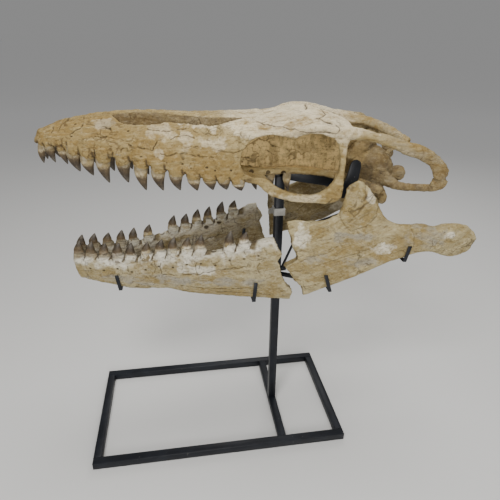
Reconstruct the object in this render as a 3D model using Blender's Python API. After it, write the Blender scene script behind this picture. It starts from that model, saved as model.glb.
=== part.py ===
"""Fossil mosasaur skull, life size, on its welded steel display stand.

Metres, +Z up. The origin lies on the floor under the post. The snout points along -X, and the animal's
left side faces -Y. The bones are drawn as solids of the left and right sides about the plane Y = 0.
The cranium is shaped whole, then sawn along its sutures into its bones.
"""

import math

import bmesh
import bpy
import numpy as np
from mathutils import Matrix, Vector

# ---- Driving dimensions ------------------------------------------------------------------------------

GAP = 0.0003            # clearance between neighbouring pieces
SAW = 0.0006            # width of a cut between two bones
SLIVER = 0.0003         # longest edge of the slivers that a cut may leave
VOXEL = 0.0032          # grain at which the drawn volumes are fused into bone
SIDES = (("left", -1), ("right", 1))

# Cranium: (x, z) lines seen from the side
ROOF_LINE = ((-0.514, 0.772), (-0.505, 0.788), (-0.485, 0.800), (-0.455, 0.810), (-0.408, 0.819),
             (-0.350, 0.825), (-0.279, 0.827), (-0.198, 0.821), (-0.114, 0.818), (-0.043, 0.819),
             (-0.010, 0.824), (0.022, 0.833), (0.055, 0.835), (0.085, 0.830), (0.125, 0.817))
GUM_LINE = ((-0.514, 0.766), (-0.488, 0.765), (-0.460, 0.763), (-0.415, 0.749), (-0.350, 0.741),
            (-0.277, 0.725), (-0.212, 0.709), (-0.150, 0.703), (-0.090, 0.694), (-0.045, 0.690))
# Cranium: (x, half width)
CRANIUM_WIDTH = ((-0.514, 0.006), (-0.507, 0.018), (-0.490, 0.029), (-0.450, 0.041), (-0.350, 0.060),
                 (-0.250, 0.078), (-0.150, 0.096), (-0.050, 0.112), (0.050, 0.126), (0.120, 0.133),
                 (0.220, 0.134), (0.340, 0.130))
# Superellipse powers of the snout's section along X: a low vault in front, upright cheeks by the orbits
DOME_ACROSS = ((-0.514, 1.7), (-0.400, 1.5), (-0.260, 1.6), (-0.180, 2.2), (-0.110, 3.6), (-0.045, 4.0))
DOME_UPWARD = ((-0.514, 1.9), (-0.260, 1.9), (-0.180, 2.2), (-0.110, 3.4), (-0.045, 3.8))
PALATE_RISE = 0.022
LIP = 0.024                      # width of the tooth-bearing lip either side of the palate
ROSTRUM_END = -0.045

ROOF_START, ROOF_END = -0.128, 0.119
ROOF_EDGE_DROP = 0.027
ROOF_THICKNESS = (0.018, 0.009)  # at the midline and at the orbit's rim
# Share of the full width
ROOF_SHOULDER = ((-0.128, 0.84), (-0.108, 0.91), (-0.085, 0.985), (-0.060, 1.0), (0.119, 1.0))

# Orbit's rim, anticlockwise from its front end, as (x, z)
ORBIT = ((-0.105, 0.745), (-0.102, 0.722), (-0.084, 0.709), (-0.055, 0.705), (-0.034, 0.688),
         (0.010, 0.672), (0.058, 0.671), (0.080, 0.690), (0.091, 0.712), (0.094, 0.745),
         (0.084, 0.777), (0.050, 0.793), (0.022, 0.794), (0.000, 0.785), (-0.020, 0.789),
         (-0.050, 0.792), (-0.085, 0.779))
# Jugal's free lower edge
JUGAL_EDGE = ((-0.100, 0.694), (-0.068, 0.688), (-0.048, 0.669), (-0.010, 0.657), (0.045, 0.651),
              (0.080, 0.651), (0.098, 0.657), (0.105, 0.664))
JUGAL_THICKNESS = 0.013

# Each nostril from front to rear: x, its inner and its outer edge, and its depth
NARIS = ((-0.356, 0.0100, 0.0130, 0.007), (-0.347, 0.0090, 0.0185, 0.022), (-0.338, 0.0085, 0.0268, 0.036),
         (-0.325, 0.0080, 0.0338, 0.044), (-0.303, 0.0080, 0.0372, 0.046), (-0.271, 0.0100, 0.0390, 0.046),
         (-0.235, 0.0150, 0.0375, 0.044), (-0.200, 0.0215, 0.0440, 0.044), (-0.174, 0.0285, 0.0523, 0.042),
         (-0.148, 0.0340, 0.0625, 0.036), (-0.130, 0.0365, 0.0640, 0.028), (-0.112, 0.0400, 0.0595, 0.018),
         (-0.094, 0.0455, 0.0530, 0.008))

SEPTUM_THICKNESS = 0.023         # wall between the two orbits
SEPTUM_EDGE = ((-0.115, 0.698), (-0.070, 0.684), (0.000, 0.682), (0.060, 0.680), (0.130, 0.672),
               (0.190, 0.668))

# Tooth tips of one side, front to back, as (x, z) on the two jaws, and each row's width at the root
UPPER_TIPS = ((-0.500, 0.726), (-0.476, 0.728), (-0.451, 0.725), (-0.428, 0.711), (-0.402, 0.703),
              (-0.371, 0.688), (-0.332, 0.689), (-0.297, 0.673), (-0.262, 0.673), (-0.227, 0.674),
              (-0.192, 0.674), (-0.160, 0.676), (-0.132, 0.677), (-0.102, 0.675))
LOWER_TIPS = ((-0.457, 0.549), (-0.430, 0.548), (-0.400, 0.545), (-0.370, 0.547), (-0.342, 0.549),
              (-0.306, 0.552), (-0.274, 0.560), (-0.246, 0.567), (-0.216, 0.567), (-0.187, 0.575),
              (-0.158, 0.578), (-0.124, 0.587), (-0.092, 0.586))
LOST_TEETH = {"left": (10,), "right": (6,)}
FIRST_MAXILLARY_TOOTH = 2
# Radius of a tooth's root in the snout's tip, the rest of the upper row, the lower row and the palate
FRONT_ROOT, UPPER_ROOT, LOWER_ROOT, PALATE_ROOT = 0.0095, 0.0148, 0.0128, 0.010
SMALL_FRONT_TEETH = 3
UPPER_LEAN, LOWER_LEAN = 0.006, 0.004    # how far back of its root's middle a tooth's tip lies
UPPER_ROW_INSET = 0.011                  # from the snout's flank in to the middle of the row
ROOT_DEPTH = 0.14                        # share of a tooth's length that is sunk in the jaw
# Rings of a tooth: share of the way to the tip, share of the root's radius
TOOTH_RINGS = ((-ROOT_DEPTH, 1.0), (0.45, 0.74), (1.0, 0.12))
TOOTH_BOW = 0.08                         # forward bulge as a share of the length
TOOTH_FLATNESS = 0.78                    # thickness over width
TOOTH_SIDES, PALATE_TOOTH_SIDES = 6, 12
PALATE_TOOTH_TIPS = ((-0.058, 0.652), (-0.021, 0.650), (0.016, 0.646))
PALATE_ROW, PALATE_ROOT_LEVEL = 0.020, 0.690

# Sutures as planes: a point and the direction towards the first bone that each parts off, left mirrored
SUTURES = {"premaxilla": ((-0.4505, 0, 0.790), (-1, 0, 0.86)),
           "snout": ((-0.087, 0, 0), (-1, 0, 0)),
           "internarial bar": ((0, 0.0135, 0), (0, 1, 0)),
           "prefrontal": ((-0.160, 0, 0.783), (0.36, 0, 1)),
           "temple": ((0.1195, 0, 0), (1, 0, 0)),
           "roof": ((0, 0, 0.7765), (0, 0, 1)),
           "orbit's rim": ((0, 0.078, 0), (-0.10, 1, 0)),
           "cheek": ((0, 0.062, 0), (0, 1, 0)),
           "jugal": ((0.084, 0, 0.684), (0.45, 0, 1)),
           "arcade": ((0, 0.1125, 0), (0, 1, 0)),
           "suspensorium": ((0.262, 0, 0), (1, 0, 0)),
           "braincase": ((0, 0, 0.7655), (0, 0, -1)),
           "parietal ramus": ((0, 0.0225, 0), (0, 1, 0)),
           "coronoid": ((0.140, 0, 0.640), (0.10, 0, 1)),
           "articular": ((0.262, 0, 0), (1, 0, 0))}

# Lower jaw: (x, half width between the two sides), then each piece's lower and upper edges as (x, z)
JAW_WIDTH = ((-0.474, 0.014), (-0.400, 0.031), (-0.290, 0.056), (-0.190, 0.080), (-0.090, 0.103),
             (0.000, 0.121), (0.100, 0.135), (0.200, 0.142), (0.300, 0.145), (0.425, 0.141))
DENTARY_LOW = ((-0.474, 0.490), (-0.470, 0.468), (-0.456, 0.457), (-0.420, 0.449), (-0.363, 0.437),
               (-0.300, 0.436), (-0.257, 0.437), (-0.229, 0.432), (-0.119, 0.426), (0.010, 0.422))
DENTARY_HIGH = ((-0.474, 0.506), (-0.460, 0.510), (-0.336, 0.512), (-0.265, 0.527), (-0.200, 0.536),
                (-0.155, 0.540), (-0.106, 0.552), (-0.080, 0.559), (-0.055, 0.571), (-0.030, 0.573),
                (0.010, 0.574))
RAMUS_LOW = {"left": ((-0.014, 0.420), (0.042, 0.435), (0.099, 0.459), (0.144, 0.477), (0.200, 0.505),
                      (0.247, 0.523), (0.300, 0.537), (0.330, 0.527), (0.370, 0.518),
                      (0.395, 0.520), (0.415, 0.532), (0.425, 0.552)),
             "right": ((-0.014, 0.472), (0.042, 0.482), (0.115, 0.500), (0.160, 0.509),
                       (0.207, 0.531), (0.247, 0.540), (0.300, 0.541), (0.350, 0.534))}
RAMUS_HIGH = ((-0.014, 0.612), (0.010, 0.617), (0.060, 0.614), (0.090, 0.626), (0.102, 0.637),
              (0.107, 0.660), (0.111, 0.684), (0.120, 0.697), (0.131, 0.703), (0.150, 0.692),
              (0.170, 0.670), (0.190, 0.633), (0.216, 0.610), (0.263, 0.602), (0.293, 0.600),
              (0.316, 0.592), (0.342, 0.597), (0.372, 0.595), (0.400, 0.586), (0.418, 0.572),
              (0.425, 0.558))
RAMUS_END = {"left": 0.4254, "right": 0.329}     # the right one has lost its tail
WORN_LENGTH = 0.022
# Broken ends: the crack that parts the two pieces of a jaw, as (x, z) from top to bottom
DENTARY_BREAK = ((-0.026, 0.620), (-0.034, 0.568), (-0.024, 0.548), (-0.018, 0.538), (-0.026, 0.523),
                 (-0.019, 0.503), (-0.014, 0.482), (-0.004, 0.463), (0.006, 0.451), (0.007, 0.400))
RAMUS_BREAK = {"left": ((-0.006, 0.660), (-0.010, 0.601), (-0.002, 0.580), (0.004, 0.563),
                        (0.013, 0.544), (0.017, 0.526), (-0.006, 0.512), (-0.011, 0.505),
                        (0.004, 0.493), (0.014, 0.474), (0.030, 0.458), (0.038, 0.420)),
               "right": ((-0.003, 0.660), (0.001, 0.603), (-0.002, 0.567), (0.003, 0.526),
                         (0.006, 0.490), (0.009, 0.420))}

# Stand, of square steel tube
TUBE = 0.020
BASE_FRONT, BASE_BACK = -0.479, 0.163    # ends of the base frame along X
BASE_WIDTH = 0.340
POST_TOP = 0.678
ARM_DEPTH, ARM_WIDTH = 0.022, 0.017
ARM_START, ARM_FINISH = (0.0104, 0.6802), (0.150, 0.6539)   # centre line (x, z)
ARM_SLOT_CLEARANCE = 0.0022
STRUT_LEVEL = 0.4230
BOLT_LEVEL, BOLT_RADIUS, BOLT_LENGTH = 0.436, 0.0068, 0.014
CRADLE_THICKNESS, CRADLE_SPREAD = 0.004, 0.046
CRADLE = ((0.127, 0.633), (0.158, 0.633), (0.170, 0.672), (0.1735, 0.706), (0.171, 0.716),
          (0.163, 0.7205), (0.155, 0.7195), (0.1495, 0.714), (0.138, 0.668))     # plate's (x, z)
RAIL = 0.010
RAIL_INSET = 0.024               # from a jaw's middle in to the rail's middle
HOOK_WIDTH, HOOK_THICKNESS, HOOK_CLEARANCE = 0.008, 0.003, 0.0012
# Hooks under each jaw: (x, height of the finger on the outer face, lean of the finger along X)
DENTARY_HOOKS = ((-0.376, 0.036, -0.005), (-0.077, 0.046, 0.004))
RAMUS_HOOKS = ((0.091, 0.040, -0.012), (0.252, 0.034, 0.007))
INNER_FINGERS = {("dentary", "right", 2): 0.088}     # a hook with a second finger on the inner face
JAW_HALF_THICKNESS = 0.0136
STRAP_LEVEL, STRAP_HEIGHT, STRAP_THICKNESS = 0.592, 0.017, 0.003
STRAP_END = (0.001, 0.1070, 0.550)      # where the strap's tail meets the right jaw

# Triangles: of the forms before they are sawn up, then of each bone
ROUGH = {"cranium": 7000, "dentary": 1000, "ramus": 900}
BUDGET = {"premaxilla": 430, "maxilla": 820, "internarial": 180, "prefrontal": 170, "frontal": 360,
          "postorbitofrontal": 190, "postorbital": 90, "jugal": 190, "palate": 520, "parietal": 170,
          "squamosal": 150, "suspensorium": 190, "braincase": 640, "dentary": 760, "coronoid": 110,
          "surangular": 330, "articular": 210}

MATERIALS = {                    # colour, roughness, metallic
    "bone": ((0.52, 0.41, 0.27), 0.75, 0.0),
    "bone_pale": ((0.60, 0.52, 0.40), 0.80, 0.0),
    "steel": ((0.012, 0.013, 0.016), 0.45, 0.3),
    "strap": ((0.45, 0.44, 0.42), 0.50, 0.0),
}


# ---- Small tools -------------------------------------------------------------------------------------

def course(stations):
    """A smooth function through (x, value) stations, level beyond both ends."""
    xs, values = np.array(stations, float).T
    slopes = np.gradient(values, xs)

    def at(x):
        x = np.clip(x, xs[0], xs[-1])
        i = np.clip(np.searchsorted(xs, x) - 1, 0, len(xs) - 2)
        step = xs[i + 1] - xs[i]
        t = (x - xs[i]) / step
        return (values[i] * (1 + 2 * t) * (1 - t) ** 2 + values[i + 1] * t * t * (3 - 2 * t)
                + slopes[i] * step * t * (1 - t) ** 2 - slopes[i + 1] * step * t * t * (1 - t))
    return at


roof_line = course(ROOF_LINE)
roof_shoulder = course(ROOF_SHOULDER)
gum_line = course(GUM_LINE)
cranium_width = course(CRANIUM_WIDTH)
jugal_edge = course(JUGAL_EDGE)
septum_edge = course(SEPTUM_EDGE)
jaw_width = course(JAW_WIDTH)


def power(value, exponent):
    """A signed power, for superellipses."""
    return math.copysign(abs(value) ** exponent, value)


def new_object(name, mesh):
    thing = bpy.data.objects.new(name, mesh)
    bpy.context.collection.objects.link(thing)
    return thing


def discard(thing):
    bpy.data.objects.remove(thing)


def loft(rings, name="shape"):
    """A closed solid through rings of equally many points, capped at both ends."""
    count = len(rings[0])
    points = [point for ring in rings for point in ring]
    faces = [tuple(range(count - 1, -1, -1))]
    for i in range(len(rings) - 1):
        for j in range(count):
            k = (j + 1) % count
            faces.append((i * count + j, i * count + k, (i + 1) * count + k, (i + 1) * count + j))
    faces.append(tuple(range((len(rings) - 1) * count, len(rings) * count)))
    mesh = bpy.data.meshes.new(name)
    mesh.from_pydata(points, [], faces)
    skin = bmesh.new()
    skin.from_mesh(mesh)
    bmesh.ops.recalc_face_normals(skin, faces=skin.faces)
    skin.to_mesh(mesh)
    skin.free()
    return new_object(name, mesh)


def rod(path, sizes, sides=14, squareness=2.0, up=(0, 0, 1)):
    """A tube along a smooth path. sizes gives (half width, half height) at each of its points."""
    path = np.array(path, float)
    sizes = np.array(sizes, float)
    along = np.gradient(path, axis=0)
    rings = []
    for centre, forward, (wide, high) in zip(path, along, sizes):
        forward = Vector(forward).normalized()
        across = forward.cross(Vector(up)).normalized()
        upward = across.cross(forward)
        ring = []
        for j in range(sides):
            turn = 2 * math.pi * j / sides
            ring.append(Vector(centre) + across * wide * power(math.cos(turn), 2 / squareness)
                        + upward * high * power(math.sin(turn), 2 / squareness))
        rings.append(ring)
    return loft(rings)


def smooth_rod(stations, count, **style):
    """A rod through stations (x, y, z, half width, half height), with count rings."""
    given = np.array(stations, float)
    reach = np.concatenate([[0], np.cumsum(np.linalg.norm(np.diff(given[:, :3], axis=0), axis=1))])
    at = np.linspace(0, reach[-1], count)
    columns = [course(np.column_stack([reach, given[:, k]]))(at) for k in range(given.shape[1])]
    table = np.column_stack(columns)
    return rod(table[:, :3], table[:, 3:], **style)


def slab(side, xs, centre, low, high, thick_low, thick_high, sides=20, squareness=3.2):
    """An upright plate of bone along X: functions of x give its place, edges and half thicknesses."""
    rings = []
    for x in xs:
        middle, reach = (low(x) + high(x)) / 2, (high(x) - low(x)) / 2
        ring = []
        for j in range(sides):
            turn = 2 * math.pi * j / sides
            rise = power(math.sin(turn), 2 / squareness)
            thick = thick_low(x) + (thick_high(x) - thick_low(x)) * (rise + 1) / 2
            ring.append((x, side * (centre(x) + thick * power(math.cos(turn), 2 / squareness)),
                         middle + reach * rise))
        rings.append(ring)
    return loft(rings)


def level(value):
    return lambda x: value


def prism(outline, near, far):
    """An (x, z) outline drawn out along Y from near to far."""
    return loft([[(x, depth, z) for x, z in outline] for depth in (near, far)])


def smooth_loop(outline, count):
    """A closed outline rounded through its points."""
    points = np.array(outline + outline[:1], float)
    closed = np.array(outline[-3:] + outline + outline[:3], float)
    reach = np.concatenate([[0], np.cumsum(np.linalg.norm(np.diff(closed, axis=0), axis=1))])
    start, finish = reach[3], reach[3 + len(points) - 1]
    at = np.linspace(start, finish, count, endpoint=False)
    return [tuple(p) for p in np.column_stack([course(np.column_stack([reach, closed[:, k]]))(at)
                                               for k in (0, 1)])]


def box(low, high, name="shape"):
    shape = bmesh.new()
    bmesh.ops.create_cube(shape, size=1)
    low, high = Vector(low), Vector(high)
    for vertex in shape.verts:
        vertex.co = Vector([(a + b) / 2 + (b - a) * c for a, b, c in zip(low, high, vertex.co)])
    mesh = bpy.data.meshes.new(name)
    shape.to_mesh(mesh)
    shape.free()
    return new_object(name, mesh)


def joined(things):
    """The meshes of several objects in one object, their shells left as they are."""
    skin = bmesh.new()
    for thing in things:
        skin.from_mesh(thing.data)
    mesh = bpy.data.meshes.new("joined")
    skin.to_mesh(mesh)
    skin.free()
    for thing in things:
        discard(thing)
    return new_object("joined", mesh)


def baked(thing):
    """The object with its modifiers applied."""
    bpy.context.view_layer.update()
    shown = thing.evaluated_get(bpy.context.evaluated_depsgraph_get())
    mesh = bpy.data.meshes.new_from_object(shown)
    discard(thing)
    return new_object("baked", mesh)


def boolean(thing, other, operation):
    """The object cut by, cut to or united with the other, which is used up."""
    cut = thing.modifiers.new("cut", "BOOLEAN")
    cut.operation = operation
    cut.solver = "EXACT"
    cut.object = other
    result = baked(thing)
    discard(other)
    return result


def copy_of(thing):
    return new_object("copy", thing.data.copy())


def fused(thing):
    """Overlapping shells made one closed skin."""
    remesh = thing.modifiers.new("fuse", "REMESH")
    remesh.mode = "VOXEL"
    remesh.voxel_size = VOXEL
    return baked(thing)


def softened(thing, rounds=3):
    soften = thing.modifiers.new("soften", "SMOOTH")
    soften.factor = 0.5
    soften.iterations = rounds
    return baked(thing)


def closed(thing):
    """Whether every edge of the skin is shared by just two faces."""
    shape = bmesh.new()
    shape.from_mesh(thing.data)
    sound = all(edge.is_manifold for edge in shape.edges)
    shape.free()
    return sound


def thinned(thing, triangles):
    """The same skin with about that many triangles, a few more where fewer would tear it."""
    thing.data.calc_loop_triangles()
    count = len(thing.data.loop_triangles)
    for extra in range(12):
        trial = copy_of(thing)
        thin = trial.modifiers.new("thin", "DECIMATE")
        thin.ratio = min(1.0, triangles * (1 + 0.04 * extra) / count)
        trial = baked(trial)
        if closed(trial):
            break
        discard(trial)
    discard(thing)
    return trial


def halves(thing, point, normal):
    """The part of a solid that lies along normal from the plane, and the part that lies behind."""
    size = 3.0
    parts = []
    for direction in (1, -1):
        outward = Vector(normal).normalized() * direction
        half = box((-size, -size, 0), (size, size, size))
        turn = outward.to_track_quat("Z", "Y").to_matrix().to_4x4()
        half.data.transform(Matrix.Translation(Vector(point) + outward * SAW / 2) @ turn)
        parts.append(boolean(copy_of(thing), half, "INTERSECT"))
    discard(thing)
    return parts


def largest(thing):
    """The object without any crumbs, slivers or pinholes that a cut left."""
    skin = bmesh.new()
    skin.from_mesh(thing.data)
    unseen, islands = set(skin.verts), []
    while unseen:
        island, edge = set(), [unseen.pop()]
        while edge:
            vertex = edge.pop()
            island.add(vertex)
            for link in vertex.link_edges:
                other = link.other_vert(vertex)
                if other in unseen:
                    unseen.remove(other)
                    edge.append(other)
        islands.append(island)
    islands.sort(key=len)
    bmesh.ops.delete(skin, geom=[v for island in islands[:-1] for v in island], context="VERTS")
    bmesh.ops.triangulate(skin, faces=skin.faces)
    if not all(edge.is_manifold for edge in skin.edges):
        bmesh.ops.dissolve_degenerate(skin, dist=SLIVER, edges=skin.edges)
        bmesh.ops.holes_fill(skin, edges=skin.edges, sides=4)
        bmesh.ops.triangulate(skin, faces=skin.faces)
    skin.to_mesh(thing.data)
    skin.free()
    return thing


def finish(thing, name, material, angle=40):
    """Names a finished sub-part and gives it a material of its own."""
    colour, roughness, metallic = MATERIALS[material]
    paint = bpy.data.materials.new(name + "_material")
    paint.use_nodes = True
    shader = paint.node_tree.nodes["Principled BSDF"]
    shader.inputs["Base Color"].default_value = (*colour, 1)
    shader.inputs["Roughness"].default_value = roughness
    shader.inputs["Metallic"].default_value = metallic
    thing.data.materials.clear()
    thing.data.materials.append(paint)
    thing.data.shade_smooth()
    thing.data.set_sharp_from_angle(angle=math.radians(angle))
    thing.name = name
    thing.data.name = name
    return thing


def finish_bone(bone, name):
    """A bone cleared of crumbs, thinned to its share of triangles and named."""
    pale = name.startswith(("prefrontal", "jugal", "frontal"))
    bone = thinned(largest(bone), BUDGET[name.split("_")[0]])
    finish(largest(bone), name, "bone_pale" if pale else "bone")


# ---- Teeth -------------------------------------------------------------------------------------------

def tooth(root, tip, radius, sides=TOOTH_SIDES):
    """A cone curved back towards its tip, from a stout root sunk in the jaw."""
    root, tip = Vector(root), Vector(tip)
    bow = Vector((-TOOTH_BOW, 0, 0)) * (tip - root).length
    rings = []
    for share, size in TOOTH_RINGS:
        centre = root.lerp(tip, share) + bow * math.sin(math.pi * max(share, 0))
        ring = []
        for j in range(sides):
            turn = 2 * math.pi * (j + 0.5) / sides
            ring.append(centre + Vector((math.cos(turn), TOOTH_FLATNESS * math.sin(turn), 0))
                        * radius * size)
        rings.append(ring)
    return loft(rings)


def upper_teeth(side, which):
    foremost = GUM_LINE[0][0] + 2 * FRONT_ROOT
    teeth = []
    for i in which:
        x, z = UPPER_TIPS[i]
        root_x = max(x - UPPER_LEAN, foremost)
        y = side * (cranium_width(root_x) - UPPER_ROW_INSET)
        stout = FRONT_ROOT if i < SMALL_FRONT_TEETH else UPPER_ROOT
        teeth.append(tooth((root_x, y, gum_line(root_x)), (x, y, z), stout))
    return teeth


def lower_teeth(side_name, side, high):
    teeth = []
    for i, (x, z) in enumerate(LOWER_TIPS):
        if i in LOST_TEETH[side_name]:
            continue
        root_x = x - LOWER_LEAN
        y = side * jaw_width(root_x)
        teeth.append(tooth((root_x, y, high(root_x)), (x, y, z), LOWER_ROOT))
    return teeth


def with_teeth(bone, teeth):
    for each in teeth:
        bone = boolean(bone, each, "UNION")
    return bone


# ---- Cranium -----------------------------------------------------------------------------------------

def rostrum():
    """The snout: a dome over a hollow palate, from the tip to under the front of the orbits."""
    across_power, upward_power = course(DOME_ACROSS), course(DOME_UPWARD)
    rings = []
    for x in np.concatenate([[-0.514, -0.511, -0.505, -0.497], np.linspace(-0.485, ROSTRUM_END, 30)]):
        wide, low, high = cranium_width(x), gum_line(x), roof_line(x)
        across, upward = across_power(x), upward_power(x)
        lip = min(LIP, wide * 0.55)
        rise = min(PALATE_RISE, (high - low) * 0.4)
        ring = []
        for j in range(25):
            turn = math.pi * j / 24
            ring.append((x, wide * power(math.cos(turn), 2 / across),
                         low + (high - low) * math.sin(turn) ** (2 / upward)))
        for j in range(1, 10):
            reach = -1 + 2 * j / 10
            inner = (wide - lip * 0.35) * reach
            arch = max(0.0, 1 - (abs(inner) / max(wide - lip, 1e-4)) ** 4)
            ring.append((x, inner, low + rise * arch))
        rings.append(ring)
    return loft(rings)


def skull_roof():
    """The frontal's plate, arched from side to side, out to the rims of both orbits."""
    middle, rim = ROOF_THICKNESS
    rings = []
    for x in np.linspace(ROOF_START, ROOF_END, 22):
        wide = (float(cranium_width(x)) + 0.002) * float(roof_shoulder(x))
        reach = np.linspace(-1, 1, 21)
        top = roof_line(x) - ROOF_EDGE_DROP * abs(reach) ** 2.2
        thick = middle + (rim - middle) * abs(reach)
        upper = [(x, wide * r, z) for r, z in zip(reach, top)]
        lower = [(x, wide * r * 0.985, z - t) for r, z, t in zip(reach[::-1], top[::-1], thick[::-1])]
        rings.append(upper + lower)
    return loft(rings)


def orbit_frame(side):
    """A plate round the orbit, whose opening is cut later: the jugal below and behind."""
    xs = np.concatenate([np.linspace(-0.105, 0.098, 24), [0.104]])
    half = JUGAL_THICKNESS / 2
    return slab(side, xs, lambda x: cranium_width(x) - half, jugal_edge, level(0.800),
                level(half), level(half), squareness=3.6)


def septum():
    """The upright wall on the midline between the orbits and back to the braincase."""
    half = SEPTUM_THICKNESS / 2
    return slab(1, np.linspace(-0.115, 0.190, 24), level(0), septum_edge, level(0.806),
                level(half * 0.85), level(half), squareness=4)


def pterygoid(side):
    """The toothed palate bone beside the midline, swept out behind to the quadrate."""
    return smooth_rod([(-0.130, side * 0.046, 0.716, 0.012, 0.009),
                       (-0.060, side * 0.026, 0.696, 0.012, 0.009),
                       (0.020, side * 0.019, 0.695, 0.012, 0.008),
                       (0.110, side * 0.023, 0.684, 0.010, 0.008),
                       (0.165, side * 0.029, 0.670, 0.008, 0.010),
                       (0.195, side * 0.044, 0.660, 0.007, 0.010),
                       (0.222, side * 0.058, 0.650, 0.005, 0.009)], 26)


def pterygoid_teeth(side):
    y = side * PALATE_ROW
    return [tooth((x - LOWER_LEAN, y, PALATE_ROOT_LEVEL), (x, y, z), PALATE_ROOT, PALATE_TOOTH_SIDES)
            for x, z in PALATE_TOOTH_TIPS]


def braincase():
    """The box of the brain: side walls up to the parietal, the condyle, and processes either side."""
    core = smooth_rod([(0.150, 0, 0.706, 0.016, 0.036), (0.178, 0, 0.706, 0.028, 0.044),
                       (0.215, 0, 0.698, 0.036, 0.044), (0.246, 0, 0.688, 0.028, 0.029),
                       (0.262, 0, 0.682, 0.018, 0.019)], 16, sides=24, squareness=2.6)
    crest = smooth_rod([(0.196, 0, 0.720, 0.026, 0.020), (0.204, 0, 0.760, 0.017, 0.014),
                        (0.196, 0, 0.796, 0.012, 0.012)], 8, up=(0, 1, 0))
    condyle = smooth_rod([(0.245, 0, 0.674, 0.016, 0.015), (0.272, 0, 0.674, 0.015, 0.014),
                          (0.288, 0, 0.674, 0.019, 0.017), (0.299, 0, 0.673, 0.014, 0.012),
                          (0.303, 0, 0.673, 0.005, 0.004)], 12, sides=18)
    floor = smooth_rod([(0.085, 0, 0.686, 0.012, 0.010), (0.160, 0, 0.679, 0.016, 0.013),
                        (0.220, 0, 0.666, 0.024, 0.018), (0.250, 0, 0.664, 0.022, 0.016)], 10)
    pieces = [core, crest, condyle, floor]
    for _, side in SIDES:
        pieces.append(smooth_rod([(0.222, side * 0.018, 0.664, 0.012, 0.012),
                                  (0.236, side * 0.026, 0.636, 0.012, 0.012),
                                  (0.242, side * 0.030, 0.617, 0.010, 0.010),
                                  (0.243, side * 0.031, 0.608, 0.004, 0.004)], 10, up=(0, 1, 0)))
        pieces.append(smooth_rod([(0.222, side * 0.022, 0.682, 0.016, 0.024),
                                  (0.262, side * 0.052, 0.661, 0.010, 0.010),
                                  (0.290, side * 0.092, 0.667, 0.008, 0.008),
                                  (0.307, side * 0.124, 0.675, 0.007, 0.009)], 16))
        pieces.append(smooth_rod([(0.150, side * 0.014, 0.720, 0.012, 0.008),
                                  (0.182, side * 0.026, 0.752, 0.016, 0.009),
                                  (0.204, side * 0.030, 0.786, 0.012, 0.008)], 8, up=(0, 1, 0)))
    return pieces


def foramen_magnum():
    """The hollow for the spinal cord, above the condyle."""
    return smooth_rod([(0.235, 0, 0.704, 0.006, 0.006), (0.250, 0, 0.704, 0.010, 0.009),
                       (0.290, 0, 0.706, 0.012, 0.011)], 6, sides=12)


def parietal(side):
    """Half of the parietal: the narrow table on the midline, then the ramus out to the squamosal."""
    return smooth_rod([(0.095, side * 0.012, 0.812, 0.024, 0.012),
                       (0.132, side * 0.009, 0.806, 0.015, 0.013),
                       (0.168, side * 0.018, 0.803, 0.012, 0.011),
                       (0.194, side * 0.042, 0.798, 0.010, 0.010),
                       (0.214, side * 0.078, 0.788, 0.009, 0.009),
                       (0.236, side * 0.120, 0.773, 0.009, 0.009)], 24)


def temporal_arcade(side):
    """The bar behind the orbit and the hooked suspensorium that runs on from it."""
    bar = smooth_rod([(0.070, side * 0.122, 0.800, 0.010, 0.012),
                      (0.110, side * 0.127, 0.796, 0.009, 0.013),
                      (0.150, side * 0.128, 0.789, 0.008, 0.011),
                      (0.200, side * 0.129, 0.775, 0.008, 0.011),
                      (0.240, side * 0.130, 0.761, 0.009, 0.013),
                      (0.275, side * 0.131, 0.748, 0.009, 0.014),
                      (0.303, side * 0.130, 0.728, 0.009, 0.015),
                      (0.318, side * 0.129, 0.704, 0.009, 0.018),
                      (0.316, side * 0.128, 0.685, 0.008, 0.016),
                      (0.305, side * 0.124, 0.676, 0.007, 0.010)], 40, sides=16)
    post = smooth_rod([(0.098, side * 0.124, 0.745, 0.005, 0.006),
                       (0.100, side * 0.125, 0.772, 0.007, 0.008),
                       (0.104, side * 0.124, 0.795, 0.012, 0.009)], 8, up=(0, 1, 0))
    rear_rim = smooth_rod([(0.104, side * 0.020, 0.810, 0.014, 0.010),
                           (0.108, side * 0.070, 0.808, 0.012, 0.009),
                           (0.106, side * 0.124, 0.798, 0.014, 0.010)], 10)
    return [bar, post, rear_rim]


def naris(side):
    """The hollow of one external naris, beside the bar between the two."""
    stations = [(x, side * (inner + outer) / 2, roof_line(x), (outer - inner) / 2, depth)
                for x, inner, outer, depth in NARIS]
    return smooth_rod(stations, 40, sides=20, squareness=3.0)


def whole_cranium():
    solid = [rostrum(), skull_roof(), septum()]
    solid += [orbit_frame(side) for _, side in SIDES]
    hollowed = fused(joined(solid))
    outline = smooth_loop(ORBIT, 56)
    for _, side in SIDES:
        opening = prism(outline, side * SEPTUM_THICKNESS / 2, side * 0.300)
        hollowed = boolean(hollowed, opening, "DIFFERENCE")
        hollowed = boolean(hollowed, naris(side), "DIFFERENCE")
    pieces = [hollowed]
    for _, side in SIDES:
        pieces.append(pterygoid(side))
        pieces += pterygoid_teeth(side)
        pieces.append(parietal(side))
        pieces += temporal_arcade(side)
    whole = fused(joined(pieces + braincase()))
    whole = fused(boolean(whole, foramen_magnum(), "DIFFERENCE"))
    whole = thinned(softened(whole), ROUGH["cranium"])
    return boolean(whole, arm(ARM_SLOT_CLEARANCE), "DIFFERENCE")


def sawn(thing, suture, side=1):
    """The two parts either side of a suture, mirrored for the other side of the skull."""
    (x, y, z), (along, across, up) = SUTURES[suture]
    return halves(thing, (x, side * y, z), (along, side * across, up))


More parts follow.
